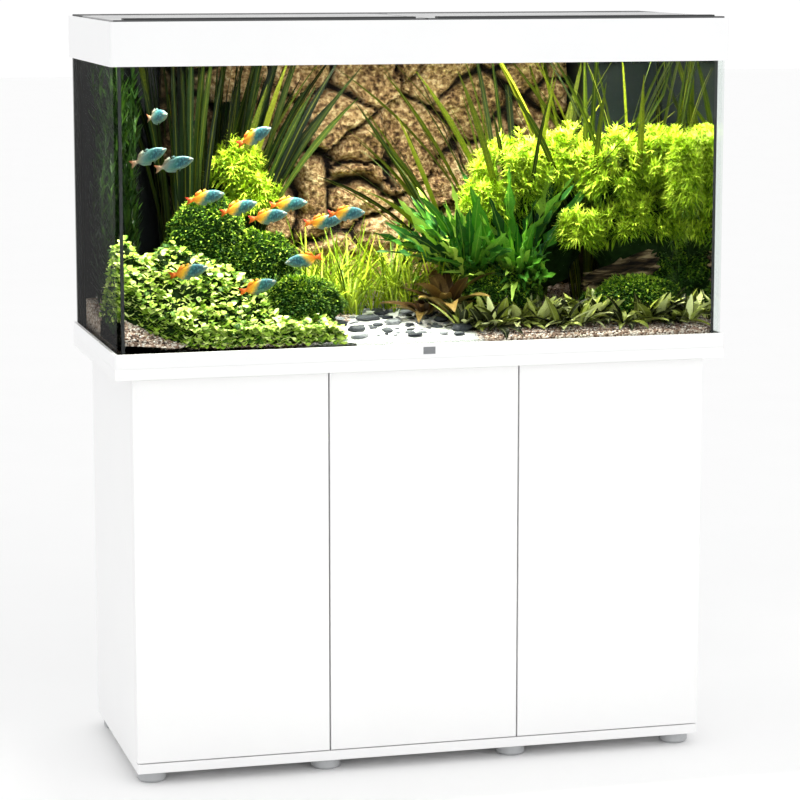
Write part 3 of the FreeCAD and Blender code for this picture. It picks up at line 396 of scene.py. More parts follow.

# The background: a cast resin rock face standing against the rear pane. Big weathered blocks
# with rounded corners are split by deep joints, painted near black as painted shade, and their
# faces are coarse grained.

rock_low, rock_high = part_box("background_rock")
rock = slab_with_top(rock_low, rock_high, Vector((0.0, -1.0, 0.0)), 150)
rng = np.random.default_rng(5)
block_wide = 0.150
block_high = 0.125
columns = round((rock_high.x - rock_low.x) / block_wide)
courses = round((rock_high.z - rock_low.z) / block_high)
seeds = []
for course in range(-1, courses + 1):
    for column in range(-1, columns + 1):
        across = rock_low.x + (column + 0.5 + 0.37 * (course % 2)) * block_wide
        high = rock_low.z + (course + 0.5) * block_high
        seeds.append((across + rng.uniform(-0.070, 0.070), high + rng.uniform(-0.045, 0.045)))
        if rng.uniform() < 0.30:
            seeds.append((across + rng.uniform(-0.070, 0.070), high + rng.uniform(-0.06, 0.06)))
seeds = np.array(seeds)
stands = rng.uniform(0.0, 0.024, len(seeds))
leans = rng.uniform(-0.20, 0.20, (len(seeds), 2))


def lumps(rows, scale, octaves):
    """Fractal noise at each point, about from -1 to 1."""
    return np.array([noise.fractal(Vector(row) * scale, 0.9, 2.1, octaves) for row in rows])


def crack_gap(rows, seeds):
    """For each point on the face: its block, and how far it is from the nearest joint."""
    wander = np.stack([lumps(rows, 8.0, 5), lumps(rows + 7.0, 8.0, 5)], 1) * 0.026
    flat = rows[:, [0, 2]] + wander
    away = np.linalg.norm(flat[:, None, :] - seeds[None], axis=2)
    order = np.argsort(away, axis=1)[:, :2]
    near, far = order[:, 0], order[:, 1]
    spread = np.linalg.norm(seeds[near] - seeds[far], axis=1)
    gap = (np.take_along_axis(away, order[:, 1:], 1)[:, 0] ** 2 - away.min(1) ** 2) / (2 * spread)
    return near, gap, flat - seeds[near]


rows = points_of(rock)
face = rows[:, 1] < rock_low.y + 0.001
block, gap, offset = crack_gap(rows[face], seeds)
joint_wide = 0.005 + 0.018 * np.clip(0.5 + lumps(rows[face], 5.0, 2), 0.0, 1.0)
rounding = 1.0 - np.clip(gap / joint_wide, 0.0, 1.0)
hewn = np.abs(lumps(rows[face] + 3.0, 11.0, 4))
depth = 0.026 - stands[block] - (offset * leans[block]).sum(1)
depth += 0.040 * rounding**1.6 + 0.020 * hewn - 0.010 * lumps(rows[face], 38.0, 4)
rows[face, 1] = rock_low.y + np.clip(depth, 0.0, rock_high.y - rock_low.y - 0.006)
set_points(rock, rows)
joints = np.zeros(len(rows))
joints[face] = rounding
joint_map = rock.data.attributes.new("joint", "FLOAT", "POINT")
joint_map.data.foreach_set("value", joints)
stone, shader, place = finish_named("cast_rock", {"Roughness": 0.85, "Specular IOR Level": 0.15})
big = noise_of(place, 9.0, 5.0)
grain = noise_of(place, 105.0, 9.0)
speck = cells_of(place, 260.0)
rock_shades = [(0.37, (0.055, 0.028, 0.016)), (0.46, (0.27, 0.150, 0.070)), (0.53, (0.50, 0.31, 0.150)),
               (0.64, (0.90, 0.68, 0.40))]
weathered = ramp_of(big * 0.30 + grain * 0.70, rock_shades)
flecks = ((0.30 - speck) * 3.0).maths("MAXIMUM", 0.0)
speckled = mixed(flecks, weathered, (0.06, 0.032, 0.028))
# Painted shade: the joints, already cut deep into the face, are painted near black as well.
joint = place.node("ShaderNodeAttribute", {"attribute_name": "joint"}, {}, 2)
joint_painted_shade = ramp_of(joint + (grain - 0.5) * 0.7, [(0.35, (0.0, 0.0, 0.0)), (0.80, (1.0, 1.0, 1.0))])
# Painted shade: the left end of the rock face is painted dark olive, with a ragged edge, as the shade in that
# corner.
left_shade_edge = -0.27
left_painted_shade = ((left_shade_edge - place.axis(0) + (big - 0.5) * 0.3) * 6.0).clamped(0.0, 0.85)
joint_shaded = mixed(joint_painted_shade, speckled, (0.008, 0.005, 0.004))
mixed(left_painted_shade, joint_shaded, (0.014, 0.013, 0.007)).feed(shader["Base Color"])
raised(grain + speck * 0.2, 0.014).feed(shader["Normal"])
settle(rock, "background_rock_face", stone, "background_rock")

# The bed: fine gravel banked up towards the back and into the left corner, with a path of
# white sand running back from the front pane.

bed_low, bed_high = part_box("gravel_bed")
bed_front = 0.024
bed_rise = 0.040
bank_high = 0.044
path_start = -0.238


def smooth_step(value, start, end):
    """0 before start, 1 after end, and an even curve between."""
    share = np.clip((value - start) / (end - start), 0.0, 1.0)
    return share * share * (3.0 - 2.0 * share)


def bed_height(x, y):
    """The bed's height over a place in the tank: banked to the rear, and into the left corner."""
    x, y = np.asarray(x), np.asarray(y)
    corner = smooth_step(-x, 0.43, 0.60) * smooth_step(y + inside_y, -0.015, 0.050)
    corner = corner * (1.0 - smooth_step(y, -0.19, -0.10))
    return tank_floor + bed_front + bed_rise * (y + inside_y) / (2 * inside_y) + bank_high * corner


def path_middle(y):
    """The line that the sand path follows, to the right as it runs back."""
    return (y - path_start) * 0.22 - 0.055


def path_half(y, front, narrowing=0.42):
    """Half the sand path's width, from its width at the front: it narrows as it runs back."""
    return front - (y - path_start) * narrowing


def shares(across, deep):
    """A place given as shares of the tank's half width and half depth."""
    return across * inside_x, deep * inside_y


bed = slab_with_top(Vector(bed_low), Vector((bed_high.x, bed_high.y, bed_low.z + bed_front)), up, 120)
rows = points_of(bed)
top = rows[:, 2] > bed_low.z + 0.02
rows[top, 2] = bed_height(rows[top, 0], rows[top, 1]) + 0.003 * lumps(rows[top], 30.0, 3)
set_points(bed, rows)
gravel, shader, place = finish_named("fine_gravel", {"Roughness": 0.75, "Specular IOR Level": 0.15})
tone = place.node("ShaderNodeSeparateColor", {}, {"Color": cells_of(place, 300.0, 1)})
pinks = [(0.15, (0.12, 0.075, 0.055)), (0.40, (0.36, 0.23, 0.17)), (0.62, (0.55, 0.41, 0.33)),
         (0.90, (0.82, 0.72, 0.64))]
deep = place.axis(1)
beside = (place.axis(0) - path_middle(deep)).maths("ABSOLUTE")
ragged = (noise_of(place, 22.0, 4.0) - 0.5) * 0.14
sand_mask = ((path_half(deep, 0.185) - beside + ragged) * 40.0).clamped(0.0, 1.0)
fine = noise_of(place, 900.0, 2.0)
white_sand = ramp_of(fine, [(0.30, (0.80, 0.79, 0.77)), (0.55, (0.96, 0.96, 0.94))])
mixed(sand_mask, ramp_of(tone, pinks), white_sand).feed(shader["Base Color"])
raised(1.0 - cells_of(place, 300.0), 0.002).feed(shader["Normal"])
settle(bed, "gravel_bed_top", gravel, "gravel_bed")

# Loose grains, the flat dark pebbles on the sand, and the small ones between them. Each is
# tumbled stone; they lie where they fall, pressed a little into the bed.


def stone_shape(subdivisions, flat, lumpy, seed):
    """One rounded stone a unit across: its points and its faces."""
    piece = bare(bpy.ops.mesh.primitive_ico_sphere_add, subdivisions=subdivisions, radius=0.5)
    rows = points_of(piece)
    rows *= (1.0 + lumpy * lumps(rows + seed, 1.6, 2))[:, None]
    rows[:, 2] *= flat
    faces = np.array([face.vertices[:] for face in piece.data.polygons])
    bpy.data.objects.remove(piece)
    return rows, faces


tints = 8


def lay_map(mesh, flat):
    """Lays the piece's own map: flat holds each point's place on it."""
    corner = np.empty(len(mesh.loops), int)
    mesh.loops.foreach_get("vertex_index", corner)
    mesh.uv_layers.new(name="OFBake").data.foreach_set("uv", flat[corner].ravel())


def piece_from(name, rows, faces, material, tint, along, node):
    """A piece from copies of one shape (copies by points by 3), each mapped in its tint's band."""
    copies, points = rows.shape[:2]
    offset = (np.arange(copies) * points)[:, None, None]
    every_face = (faces[None] + offset).reshape(-1, faces.shape[1])
    mesh = bpy.data.meshes.new(name)
    mesh.from_pydata(rows.reshape(-1, 3).tolist(), [], every_face.tolist())
    band = (tint[:, None] + 0.5 + 0.42 * along[1][None]).ravel() / tints
    lay_map(mesh, np.stack([np.tile(along[0], copies), band], 1))
    piece = bpy.data.objects.new(name, mesh)
    bpy.context.scene.collection.objects.link(piece)
    settle(piece, name, material, node)


def strewn(name, shape, places, sizes, rng, sink, material, node):
    """Stones of these sizes lying at these places, each turned its own way."""
    rows, faces = shape
    turn = rng.uniform(0, 2 * np.pi, len(places))
    long = rng.uniform(0.75, 1.35, len(places))
    x = rows[None, :, 0] * sizes[:, None] * long[:, None]
    y = rows[None, :, 1] * sizes[:, None]
    z = rows[None, :, 2] * sizes[:, None]
    cos, sin = np.cos(turn)[:, None], np.sin(turn)[:, None]
    lift = (0.5 - sink) * np.ptp(rows[:, 2]) * sizes
    spread = np.stack([places[:, :1] + x * cos - y * sin, places[:, 1:2] + x * sin + y * cos,
                       (places[:, 2] + lift)[:, None] + z], 2)
    spread[:, :, 1] = np.maximum(spread[:, :, 1], bed_low.y)
    tint = rng.integers(0, tints, len(places))
    along = (rows[:, 0] + 0.5, rows[:, 1] * 2)
    piece_from(name, spread, faces, material, tint, along, node)


def tinted(name, stops, roughness, streak=0.25):
    """A material whose shade steps with the tint band of its map, with a fleck over it."""
    material, shader, place = finish_named(name, {"Roughness": roughness, "Specular IOR Level": 0.16})
    band = place.node("ShaderNodeUVMap", {"uv_map": "OFBake"}, {}).axis(1) * tints
    step = band.maths("FLOOR") / (tints - 1)
    fleck = noise_of(place, 260.0, 3.0)
    ramp_of(step + (fleck - 0.5) * streak, stops).feed(shader["Base Color"])
    return material, shader, place, band


grain_shades = [(0.0, (0.07, 0.045, 0.035)), (0.35, (0.33, 0.20, 0.15)), (0.65, (0.55, 0.42, 0.34)),
                (1.0, (0.86, 0.80, 0.74))]
gravel_stone, shader, place, _ = tinted("gravel_grain", grain_shades, 0.55)
raised(noise_of(place, 700.0), 0.0004).feed(shader["Normal"])
rng = np.random.default_rng(11)
thrown = 9000
x = rng.uniform(-0.995, 0.995, thrown) * bed_high.x
y = bed_low.y + (bed_high.y - bed_low.y) * rng.uniform(0.004, 1.0, thrown) ** 2.2
off_path = ~(np.abs(x - path_middle(y)) < path_half(y, 0.17))
x, y = x[off_path], y[off_path]
places = np.stack([x, y, bed_height(x, y)], 1)
sizes = rng.uniform(0.0026, 0.0062, len(places))
strewn("gravel_grains", stone_shape(1, 0.75, 0.2, 3.0), places, sizes, rng, 0.2, gravel_stone, "gravel_bed")
pebble_shades = [(0.0, (0.012, 0.015, 0.020)), (0.5, (0.070, 0.078, 0.088)), (1.0, (0.32, 0.335, 0.35))]
slate_stone, shader, place, _ = tinted("dark_pebble", pebble_shades, 0.5, 0.7)
raised(noise_of(place, 240.0, 5.0), 0.0016).feed(shader["Normal"])
stones = []
for throw in range(900):
    size = 0.010 + 0.040 * rng.uniform() ** 1.6
    y = bed_low.y + 0.30 * rng.uniform(0.03, 1.0)
    x = path_middle(y) + rng.uniform(-1.0, 1.0) * path_half(y, 0.18, 0.36)
    if all(math.hypot(x - other[0], y - other[1]) > 0.58 * (size + other[2]) for other in stones):
        stones.append((x, y, size))
stones = np.array(stones)
places = np.column_stack([stones[:, :2], bed_height(stones[:, 0], stones[:, 1])])
sizes = stones[:, 2]
strewn("dark_pebbles", stone_shape(3, 0.40, 0.34, 9.0), places, sizes, rng, 0.2, slate_stone, "gravel_bed")

# Leaves. Every plant is grown from one leaf blade: a strip of a few faces, whose outline is
# given along its length. A copy starts at its base, rises, and droops along a curve.


def blade_of(rows, columns, outline):
    """One leaf: for each point its share along and across, its half width, and the faces."""
    piece = bare(bpy.ops.mesh.primitive_grid_add, x_subdivisions=columns, y_subdivisions=rows, size=2.0)
    flat = points_of(piece)
    faces = np.array([face.vertices[:] for face in piece.data.polygons])
    bpy.data.objects.remove(piece)
    along = (flat[:, 1] + 1.0) / 2
    return along, flat[:, 0], outline(along), faces


def lance(along):
    """A lance outline: widest a third of the way up, and pointed."""
    return 0.5 * (np.sin(np.pi * along**0.75)) ** 0.8 + 0.02


def strap(along):
    """A strap of even width that narrows to a tip."""
    return 0.5 * np.minimum(1.0, 4.0 * (1.02 - along)) * (0.6 + 0.4 * np.minimum(1.0, 4 * along))


def disc(along):
    """A round leaf."""
    return 0.5 * np.sqrt(np.maximum(1.0 - (2 * along - 1) ** 2, 0.01))


def keep_inside(rows, off_floor):
    """Keeps points off the panes and the floor, and under the water."""
    low = (0.002 - inside_x, 0.002 - inside_y, tank_floor + off_floor)
    return np.clip(rows, low, (inside_x - 0.002, inside_y - 0.002, water_level - 0.004))


def grow(name, node, blade, leaves, width, material, tint, fold=0.15, twist=0.0, ripple=0.0):
    """A piece of many leaves: leaves holds their bases, headings, rises, droops and lengths, tint
    the middle and the spread of their tint bands, and twist the most that one turns on itself."""
    along, across, half, faces = blade
    base = leaves[0]
    count = len(base)
    tint = np.clip(np.round(rng.normal(*tint, count)), 0, tints - 1).astype(int)
    twist = rng.uniform(-twist, twist, count) if twist else 0.0
    columns = (*leaves[1:], width, twist)
    heading, rise, droop, length, width, twist = [
        np.broadcast_to(np.asarray(column, float), count)[:, None] for column in columns]
    bend = droop + 1e-4
    pitch = rise - bend * along
    out = length * (np.sin(rise) - np.sin(pitch)) / bend
    lift = length * (np.cos(pitch) - np.cos(rise)) / bend
    cos, sin = np.cos(heading), np.sin(heading)
    normal = np.stack([-np.sin(pitch) * cos, -np.sin(pitch) * sin, np.cos(pitch)], 2)
    side = np.stack([-sin, cos, np.zeros_like(sin)], 2)
    spin = (twist * along)[:, :, None]
    flat = side * np.cos(spin) + normal * np.sin(spin)
    face_up = normal * np.cos(spin) - side * np.sin(spin)
    edge = (across * half)[None, :, None] * width[:, :, None]
    rows = np.asarray(base)[:, None, :] + np.stack([out * cos, out * sin, lift], 2)
    wave = fold * 2 + ripple * np.sin(along * 24.0 + across * 1.5 + heading * 9.0)[:, :, None]
    rows = keep_inside(rows + flat * edge + face_up * np.abs(edge) * wave, 0.001)
    piece_from(name, rows, faces, material, tint, (along, across), node)


def leaf_finish(name, stops, roughness=0.38, rib=0.35):
    """A leaf's surface: its shade by tint, a paler midrib and tip, and a waxy gloss."""
    material, shader, _, band = tinted(name, stops, roughness, 0.30)
    off_rib = (band - band.maths("FLOOR") - 0.5).maths("ABSOLUTE")
    rib_mask = (1.0 - off_rib * 14.0).maths("MAXIMUM", 0.0) * rib
    base_colour = Value(shader["Base Color"].links[0].from_socket)
    mixed(rib_mask, base_colour, stops[-1][1]).feed(shader["Base Color"])
    return material


straps = blade_of(12, 2, strap)
lances = blade_of(12, 2, lance)
small = blade_of(3, 2, lance)
needles = blade_of(2, 1, lance)
rounds = blade_of(4, 4, disc)
blades = blade_of(6, 1, strap)


def greens(*shades):
    """Even steps along a ramp."""
    return list(zip(np.linspace(0.0, 1.0, len(shades)).tolist(), shades))


# Background stems at the far left: dark stem plants, set close, with short narrow leaves that
# point up all along them.

rng = np.random.default_rng(21)
stem_shades = greens((0.003, 0.010, 0.002), (0.010, 0.034, 0.004), (0.050, 0.120, 0.012))
stem_green = leaf_finish("stem_leaf", stem_shades)
stalks = []
for stem in range(46):
    x, y = shares(rng.uniform(-0.985, -0.875), rng.uniform(0.0, 0.90))
    height = rng.uniform(0.26, 0.52)
    for step in np.arange(0.0, height, 0.013):
        sway = 0.006 * math.sin(step * 20 + stem)
        stalks.append((x + sway, y + sway, float(bed_height(x, y)) + step, step / height))
stalks = np.repeat(np.array(stalks), 3, axis=0)
count = len(stalks)
leaves = (stalks[:, :3], rng.uniform(0, 2 * np.pi, count), rng.uniform(0.85, 1.40, count),
          rng.uniform(-0.2, 0.3, count), rng.uniform(0.026, 0.044, count))
# Painted light: leaves higher up each stem get lighter tint bands, and the lower ones darker.
grow("left_stem_plants", "plants_left", small, leaves, 0.0050, stem_green,
     (0.6 + 3.4 * stalks[:, 3], 1.5))


def clump(count, across, deep, spread, rise, length, droop, base=0.0, way=(0.0, 2 * np.pi)):
    """Leaves from one crown: their bases, headings, rises, droops and lengths."""
    x, y = shares(across, deep)
    heading = rng.uniform(*way, count)
    away = spread * np.sqrt(rng.uniform(0, 1, count))
    places = np.stack([x + away * np.cos(heading), y + 0.5 * away * np.sin(heading)], 1)
    ground = bed_height(places[:, 0], places[:, 1]) + base
    bases = np.column_stack([places, ground])
    return bases, heading, rng.uniform(*rise, count), rng.uniform(*droop, count), rng.uniform(*length, count)


def clumps(*groups):
    """Several clumps as one set of leaves."""
    made = [clump(*group) for group in groups]
    return [np.concatenate(part) for part in zip(*made)]


# Strap-leaved plants behind: long olive ribbons from a crown in the bed, which reach the
# surface and bend along it. The right-hand ones are a fresher green.

olive = leaf_finish("olive_strap", greens(
    (0.001, 0.004, 0.001), (0.004, 0.014, 0.001), (0.026, 0.044, 0.003), (0.22, 0.24, 0.015)), 0.60)
leaves = clumps(
    (40, -0.66, 0.62, 0.050, (1.46, 1.57), (0.46, 0.62), (0.0, 0.35)),
    (26, -0.55, 0.60, 0.045, (1.22, 1.5), (0.38, 0.56), (0.1, 0.6), 0.0, (-0.7, 0.8)),
    (46, -0.62, 0.74, 0.070, (1.40, 1.57), (0.40, 0.60), (0.0, 0.3), 0.0, (-1.2, 1.2)))
count = len(leaves[0])
grow("left_strap_plants", "plants_left", straps, leaves, rng.uniform(0.010, 0.018, count), olive,
     (2.1, 2.0), 0.1, 2.2)
fresh = leaf_finish("fresh_strap", greens(
    (0.006, 0.014, 0.003), (0.022, 0.042, 0.004), (0.085, 0.110, 0.006), (0.34, 0.37, 0.022)), 0.55)
leaves = clumps(
    (44, 0.50, 0.36, 0.06, (1.20, 1.56), (0.42, 0.60), (0.2, 0.8)),
    (16, 0.34, 0.40, 0.05, (1.0, 1.4), (0.36, 0.50), (0.2, 0.9), 0.0, (2.2, 3.9)),
    (24, 0.73, 0.28, 0.035, (1.36, 1.57), (0.50, 0.66), (0.2, 0.9)),
    (30, 0.90, 0.18, 0.045, (1.36, 1.57), (0.50, 0.66), (0.2, 0.9)))
count = len(leaves[0])
grow("right_sword_plants", "plants_right", straps, leaves, rng.uniform(0.007, 0.014, count), fresh,
     (3.8, 2.0), 0.12, 1.2)

# Feathery bushes: stem plants trimmed to a dome. Each stem ends in close whorls of soft
# needles, painted bright at the tips and on the tops of the domes as painted light, and dark
# down in the bush as painted shade.

bright = leaf_finish("bright_needle", greens(
    (0.012, 0.042, 0.003), (0.085, 0.19, 0.006), (0.32, 0.50, 0.016), (0.66, 0.82, 0.070)), 0.5)


def bush(name, node, domes, ring=13):
    """Domes of feathery shoots: each is a place, half sizes, and how many shoots it has. A shoot
    has three whorls of ring needles."""
    whorls = 3
    starts = []
    for (x, y, z), (wide, thick, high), shoots in domes:
        way = rng.normal(size=(shoots, 3))
        way[:, 2] = np.abs(way[:, 2]) - 0.35
        way[:, 1] -= 0.25
        way /= np.linalg.norm(way, axis=1)[:, None]
        out = rng.uniform(0.80, 1.10, shoots)[:, None]
        tips = np.array((x, y, z)) + way * np.array((wide, thick, high)) * out
        tone = rng.normal(0.0, 0.55, shoots)
        axis = way * 0.8 + np.array((0.0, 0.0, 0.7)) + rng.normal(0, 0.22, (shoots, 3))
        axis /= np.linalg.norm(axis, axis=1)[:, None]
        for step in range(whorls):
            level = np.full(shoots, step / whorls)
            marks = (level, rng.uniform(0, 6.3, shoots), way[:, 2] + tone)
            starts.append(np.column_stack([tips - axis * 0.010 * step, axis, *marks]))
    starts = np.repeat(np.concatenate(starts), ring, axis=0)
    count = len(starts)
    axis, level, turn, high = starts[:, 3:6], starts[:, 6], starts[:, 7], starts[:, 8]
    turn = turn + np.tile(np.arange(ring), count // ring) * 2 * np.pi / ring
    first = np.cross(axis, (0.0, 1.0, 0.1))
    first /= np.linalg.norm(first, axis=1)[:, None]
    second = np.cross(axis, first)
    tilt = (0.9 - 0.75 * level + rng.normal(0, 0.2, count))[:, None]
    needle = first * np.cos(turn)[:, None] + second * np.sin(turn)[:, None] + axis * tilt
    needle /= np.linalg.norm(needle, axis=1)[:, None]
    heading = np.arctan2(needle[:, 1], needle[:, 0])
    rise = np.arcsin(needle[:, 2])
    length = 0.030 * (0.65 + 0.45 * level) * rng.uniform(0.8, 1.2, count)
    leaves = (starts[:, :3], heading, rise, 0.35, length)
    # Painted light and shade: tips and upward shoots get lighter tint bands, and deeper whorls darker ones.
    grow(name, node, needles, leaves, 0.0030, bright, (5.2 - 2.8 * level + 1.6 * high, 0.8))


bush("left_feather_bush", "plants_left", [
    ((*shares(-0.50, 0.50), 1.15), (0.050, 0.05, 0.060), 80),
    ((*shares(-0.44, 0.42), 1.09), (0.052, 0.04, 0.060), 70)], 12)
bush("right_rear_bush", "plants_right", [
    ((*shares(0.42, 0.02), 1.12), (0.080, 0.06, 0.095), 150),
    ((*shares(0.62, 0.08), 1.13), (0.090, 0.06, 0.095), 160),
    ((*shares(0.32, -0.04), 1.08), (0.05, 0.05, 0.06), 80)])
bush("right_front_bush", "plants_right", [
    ((*shares(0.78, -0.16), 1.13), (0.085, 0.06, 0.095), 150),
    ((*shares(0.93, -0.20), 1.15), (0.060, 0.06, 0.085), 100),
    ((*shares(0.955, -0.48), 1.12), (0.030, 0.08, 0.110), 120),
    ((*shares(0.84, -0.28), 1.04), (0.10, 0.05, 0.065), 110),
    ((*shares(0.62, -0.34), 1.03), (0.042, 0.04, 0.045), 50)])
# Painted shade: a near-black material for heaps inside the bushes and a mat under the carpet.
core, shader, place = finish_named("bush_shade", {"Roughness": 0.9, "Specular IOR Level": 0.1})
shade = noise_of(place, 60.0, 4.0)
mixed(shade, (0.002, 0.006, 0.001), (0.012, 0.034, 0.004)).feed(shader["Base Color"])
raised(shade, 0.006).feed(shader["Normal"])


def mound(name, centre, half, material, lumpy, node):
    """A lumpy rounded heap: a ball pressed out at these half sizes."""
    piece = bare(bpy.ops.mesh.primitive_ico_sphere_add, subdivisions=5, radius=1.0)
    rows = points_of(piece)
    rows *= (1.0 + lumpy * lumps(rows + centre[0] * 31.0, 2.2, 4))[:, None]
    set_points(piece, keep_inside(rows * np.array(half) + np.array(centre), 0.002))
    settle(piece, name, material, node)


# The bush cores: dark heaps of painted shade inside the bushes, filling the gaps between the shoots.
mound("bush_core_1", (*shares(0.50, 0.10), 1.02), (0.110, 0.035, 0.11), core, 0.2, "plants_right")
mound("bush_core_2", (*shares(0.84, -0.14), 1.03), (0.080, 0.035, 0.12), core, 0.2, "plants_right")
mound("bush_core_3", (*shares(-0.47, 0.55), 1.03), (0.040, 0.035, 0.13), core, 0.2, "plants_left")

# The fern in the middle: long lance leaves thrown out from a wood root in all directions,
# mid green, with lighter young ones on top.

fern_green = leaf_finish("fern_leaf", greens(
    (0.006, 0.035, 0.008), (0.020, 0.110, 0.012), (0.085, 0.27, 0.018), (0.42, 0.62, 0.09)), 0.45)
leaves = clumps(
    (90, 0.42, -0.26, 0.05, (0.2, 1.4), (0.08, 0.19), (0.1, 1.0), 0.07, (1.9, 5.0)),
    (70, 0.26, -0.16, 0.05, (0.5, 1.45), (0.09, 0.21), (0.1, 0.8), 0.08, (1.9, 4.9)),
    (40, 0.50, -0.36, 0.04, (0.1, 1.3), (0.07, 0.12), (0.2, 1.2), 0.07, (1.9, 4.4)),
    (30, 0.40, -0.10, 0.05, (1.0, 1.5), (0.15, 0.24), (0.0, 0.5), 0.08))
count = len(leaves[0])
grow("middle_fern", "plants_right", lances, leaves, leaves[4] * rng.uniform(0.085, 0.135, count), fern_green,
     (3.4, 2.8), 0.2, 1.6, 0.7)

# Low rosettes along the front right, and the red-brown one beside the sand: pointed leaves
# with pale edges, olive to brown.

rosette_olive = leaf_finish("rosette_leaf", greens(
    (0.012, 0.016, 0.005), (0.095, 0.115, 0.018), (0.36, 0.42, 0.060), (0.86, 0.90, 0.42)), 0.45)
groups = []
for across in np.linspace(0.16, 0.97, 26):
    deep = rng.uniform(-0.86, -0.60)
    groups.append((20, across, deep, 0.014, (0.25, 1.4), (0.035, 0.078), (0.2, 1.2), 0.004))
leaves = clumps(*groups)
count = len(leaves[0])
grow("front_rosettes", "plants_right", lances, leaves, leaves[4] * rng.uniform(0.22, 0.30, count),
     rosette_olive, (3.2, 3.2), 0.2, 0.3)
red_shades = greens((0.014, 0.008, 0.004), (0.070, 0.034, 0.012), (0.25, 0.17, 0.045))
red_brown = leaf_finish("red_brown_leaf", red_shades)
leaves = clumps(
    (16, 0.14, -0.42, 0.015, (0.5, 1.3), (0.09, 0.13), (0.4, 1.2), 0.02),
    (12, 0.07, -0.36, 0.015, (0.5, 1.2), (0.06, 0.10), (0.5, 1.3), 0.01))
grow("red_brown_rosette", "plants_right", lances, leaves, leaves[4] * 0.26, red_brown, (4.0, 1.9), 0.2, 0.4)

# Grass behind the sand path: fine bright blades in tufts, rooted in the bed and arching over
# at their tips.

grass_shades = greens((0.020, 0.055, 0.003), (0.15, 0.26, 0.008), (0.60, 0.72, 0.050))
grass_green = leaf_finish("grass_blade", grass_shades, 0.4)
groups = []
for across, deep in zip(rng.uniform(-0.30, 0.22, 30), rng.uniform(-0.10, 0.62, 30)):
    groups.append((20, across, deep, 0.014, (0.85, 1.52), (0.08, 0.20), (0.2, 1.6)))
leaves = clumps(*groups)
grow("middle_grass", "plants_left", blades, leaves, 0.0032, grass_green, (4.4, 1.8), 0.1)

# Moss balls and cushions: stones wrapped in moss, dark inside, furred all over with tiny
# leaflets, painted lighter on top as painted light.

moss_dark, shader, place = finish_named("moss_mat", {"Roughness": 0.95, "Specular IOR Level": 0.1})
mat = noise_of(place, 230.0, 4.0)
mixed(mat, (0.003, 0.010, 0.002), (0.018, 0.055, 0.005)).feed(shader["Base Color"])
raised(mat, 0.004).feed(shader["Normal"])
moss_leaf = leaf_finish("moss_leaflet", greens(
    (0.006, 0.026, 0.004), (0.024, 0.095, 0.008), (0.13, 0.26, 0.014), (0.44, 0.60, 0.05)), 0.6, 0.1)
cushions = {
    "moss_left_rear": (-0.640, 0.00, 0.985, 0.080, 0.062, 0.120),
    "moss_left_middle": (-0.475, -0.18, 0.950, 0.078, 0.062, 0.088),
    "moss_left_front": (-0.365, -0.48, 0.902, 0.080, 0.056, 0.055),
    "moss_right_rear": (0.330, -0.36, 0.905, 0.080, 0.056, 0.056),
    "moss_right_front": (0.790, -0.52, 0.888, 0.098, 0.046, 0.050),
    "moss_far_right": (0.905, -0.06, 0.935, 0.056, 0.046, 0.072),
}
moss_lumpy = 0.18
count = 4600
for name, (across, deep, z, wide, thick, high) in cushions.items():
    x, y = shares(across, deep)
    mound(name, (x, y, z), (wide, thick, high), moss_dark, moss_lumpy, "moss_stones")
    way = rng.normal(size=(count, 3))
    way[:, 2] = np.abs(way[:, 2]) - 0.25
    way /= np.linalg.norm(way, axis=1)[:, None]
    lumpy = 1.0 + moss_lumpy * lumps(way + x * 31.0, 2.2, 4)
    bases = np.array((x, y, z)) + way * np.array((wide, thick, high)) * lumpy[:, None]
    heading = np.arctan2(way[:, 1], way[:, 0]) + rng.normal(0, 0.8, count)
    rise = np.arcsin(np.clip(way[:, 2], -0.95, 0.95)) * 0.6 + rng.normal(0.2, 0.5, count)
    leaves = (bases, heading, rise, 0.6, rng.uniform(0.006, 0.011, count))
    # Painted light: leaflets that face up get lighter tint bands, and those facing down darker ones.
    tone = (2.4 + 2.6 * way[:, 2], 1.8)
    grow(name + "_leaflets", "moss_stones", needles, leaves, 0.0042, moss_leaf, tone)

# The round-leaved carpet at the front left: small pale leaves in layers over the bank, open
# to the light, with their undersides dark, and a dark mat under them as painted shade in the gaps.

carpet_green = leaf_finish("round_leaf", greens(
    (0.018, 0.070, 0.006), (0.13, 0.28, 0.014), (0.46, 0.64, 0.07), (0.86, 0.95, 0.34)), 0.5, 0.12)


def carpet_top(x, y):
    """How high the carpet's mass stands over the bed: a heap at the left, thin at the sand."""
    left = smooth_step(-x, 0.13, 0.46)
    heap = 0.016 + 0.115 * left * smooth_step(y, -0.240, -0.09)
    wavy = np.column_stack([x, y, 0.0 * x])
    return heap * (1.0 + 0.30 * lumps(wavy, 17.0, 3)) + 0.012 * lumps(wavy + 5.0, 40.0, 2)


def gravel_edge(x):
    """Where the carpet stops and the bare gravel of the left corner begins."""
    return -inside_y + 0.40 * np.maximum(-0.46 - x, 0.0)


def carpet_edge(x, y):
    """1 on the carpet, falling to 0 at the sand, the panes, the bare corner and the rear slope."""
    sides = smooth_step(-x, 0.13, 0.19) * smooth_step(x + inside_x, -0.004, 0.022)
    ends = smooth_step(y, -0.246, -0.226) * (1.0 - smooth_step(y, -0.03, 0.050))
    return sides * ends * smooth_step(y - gravel_edge(x), -0.002, 0.012)


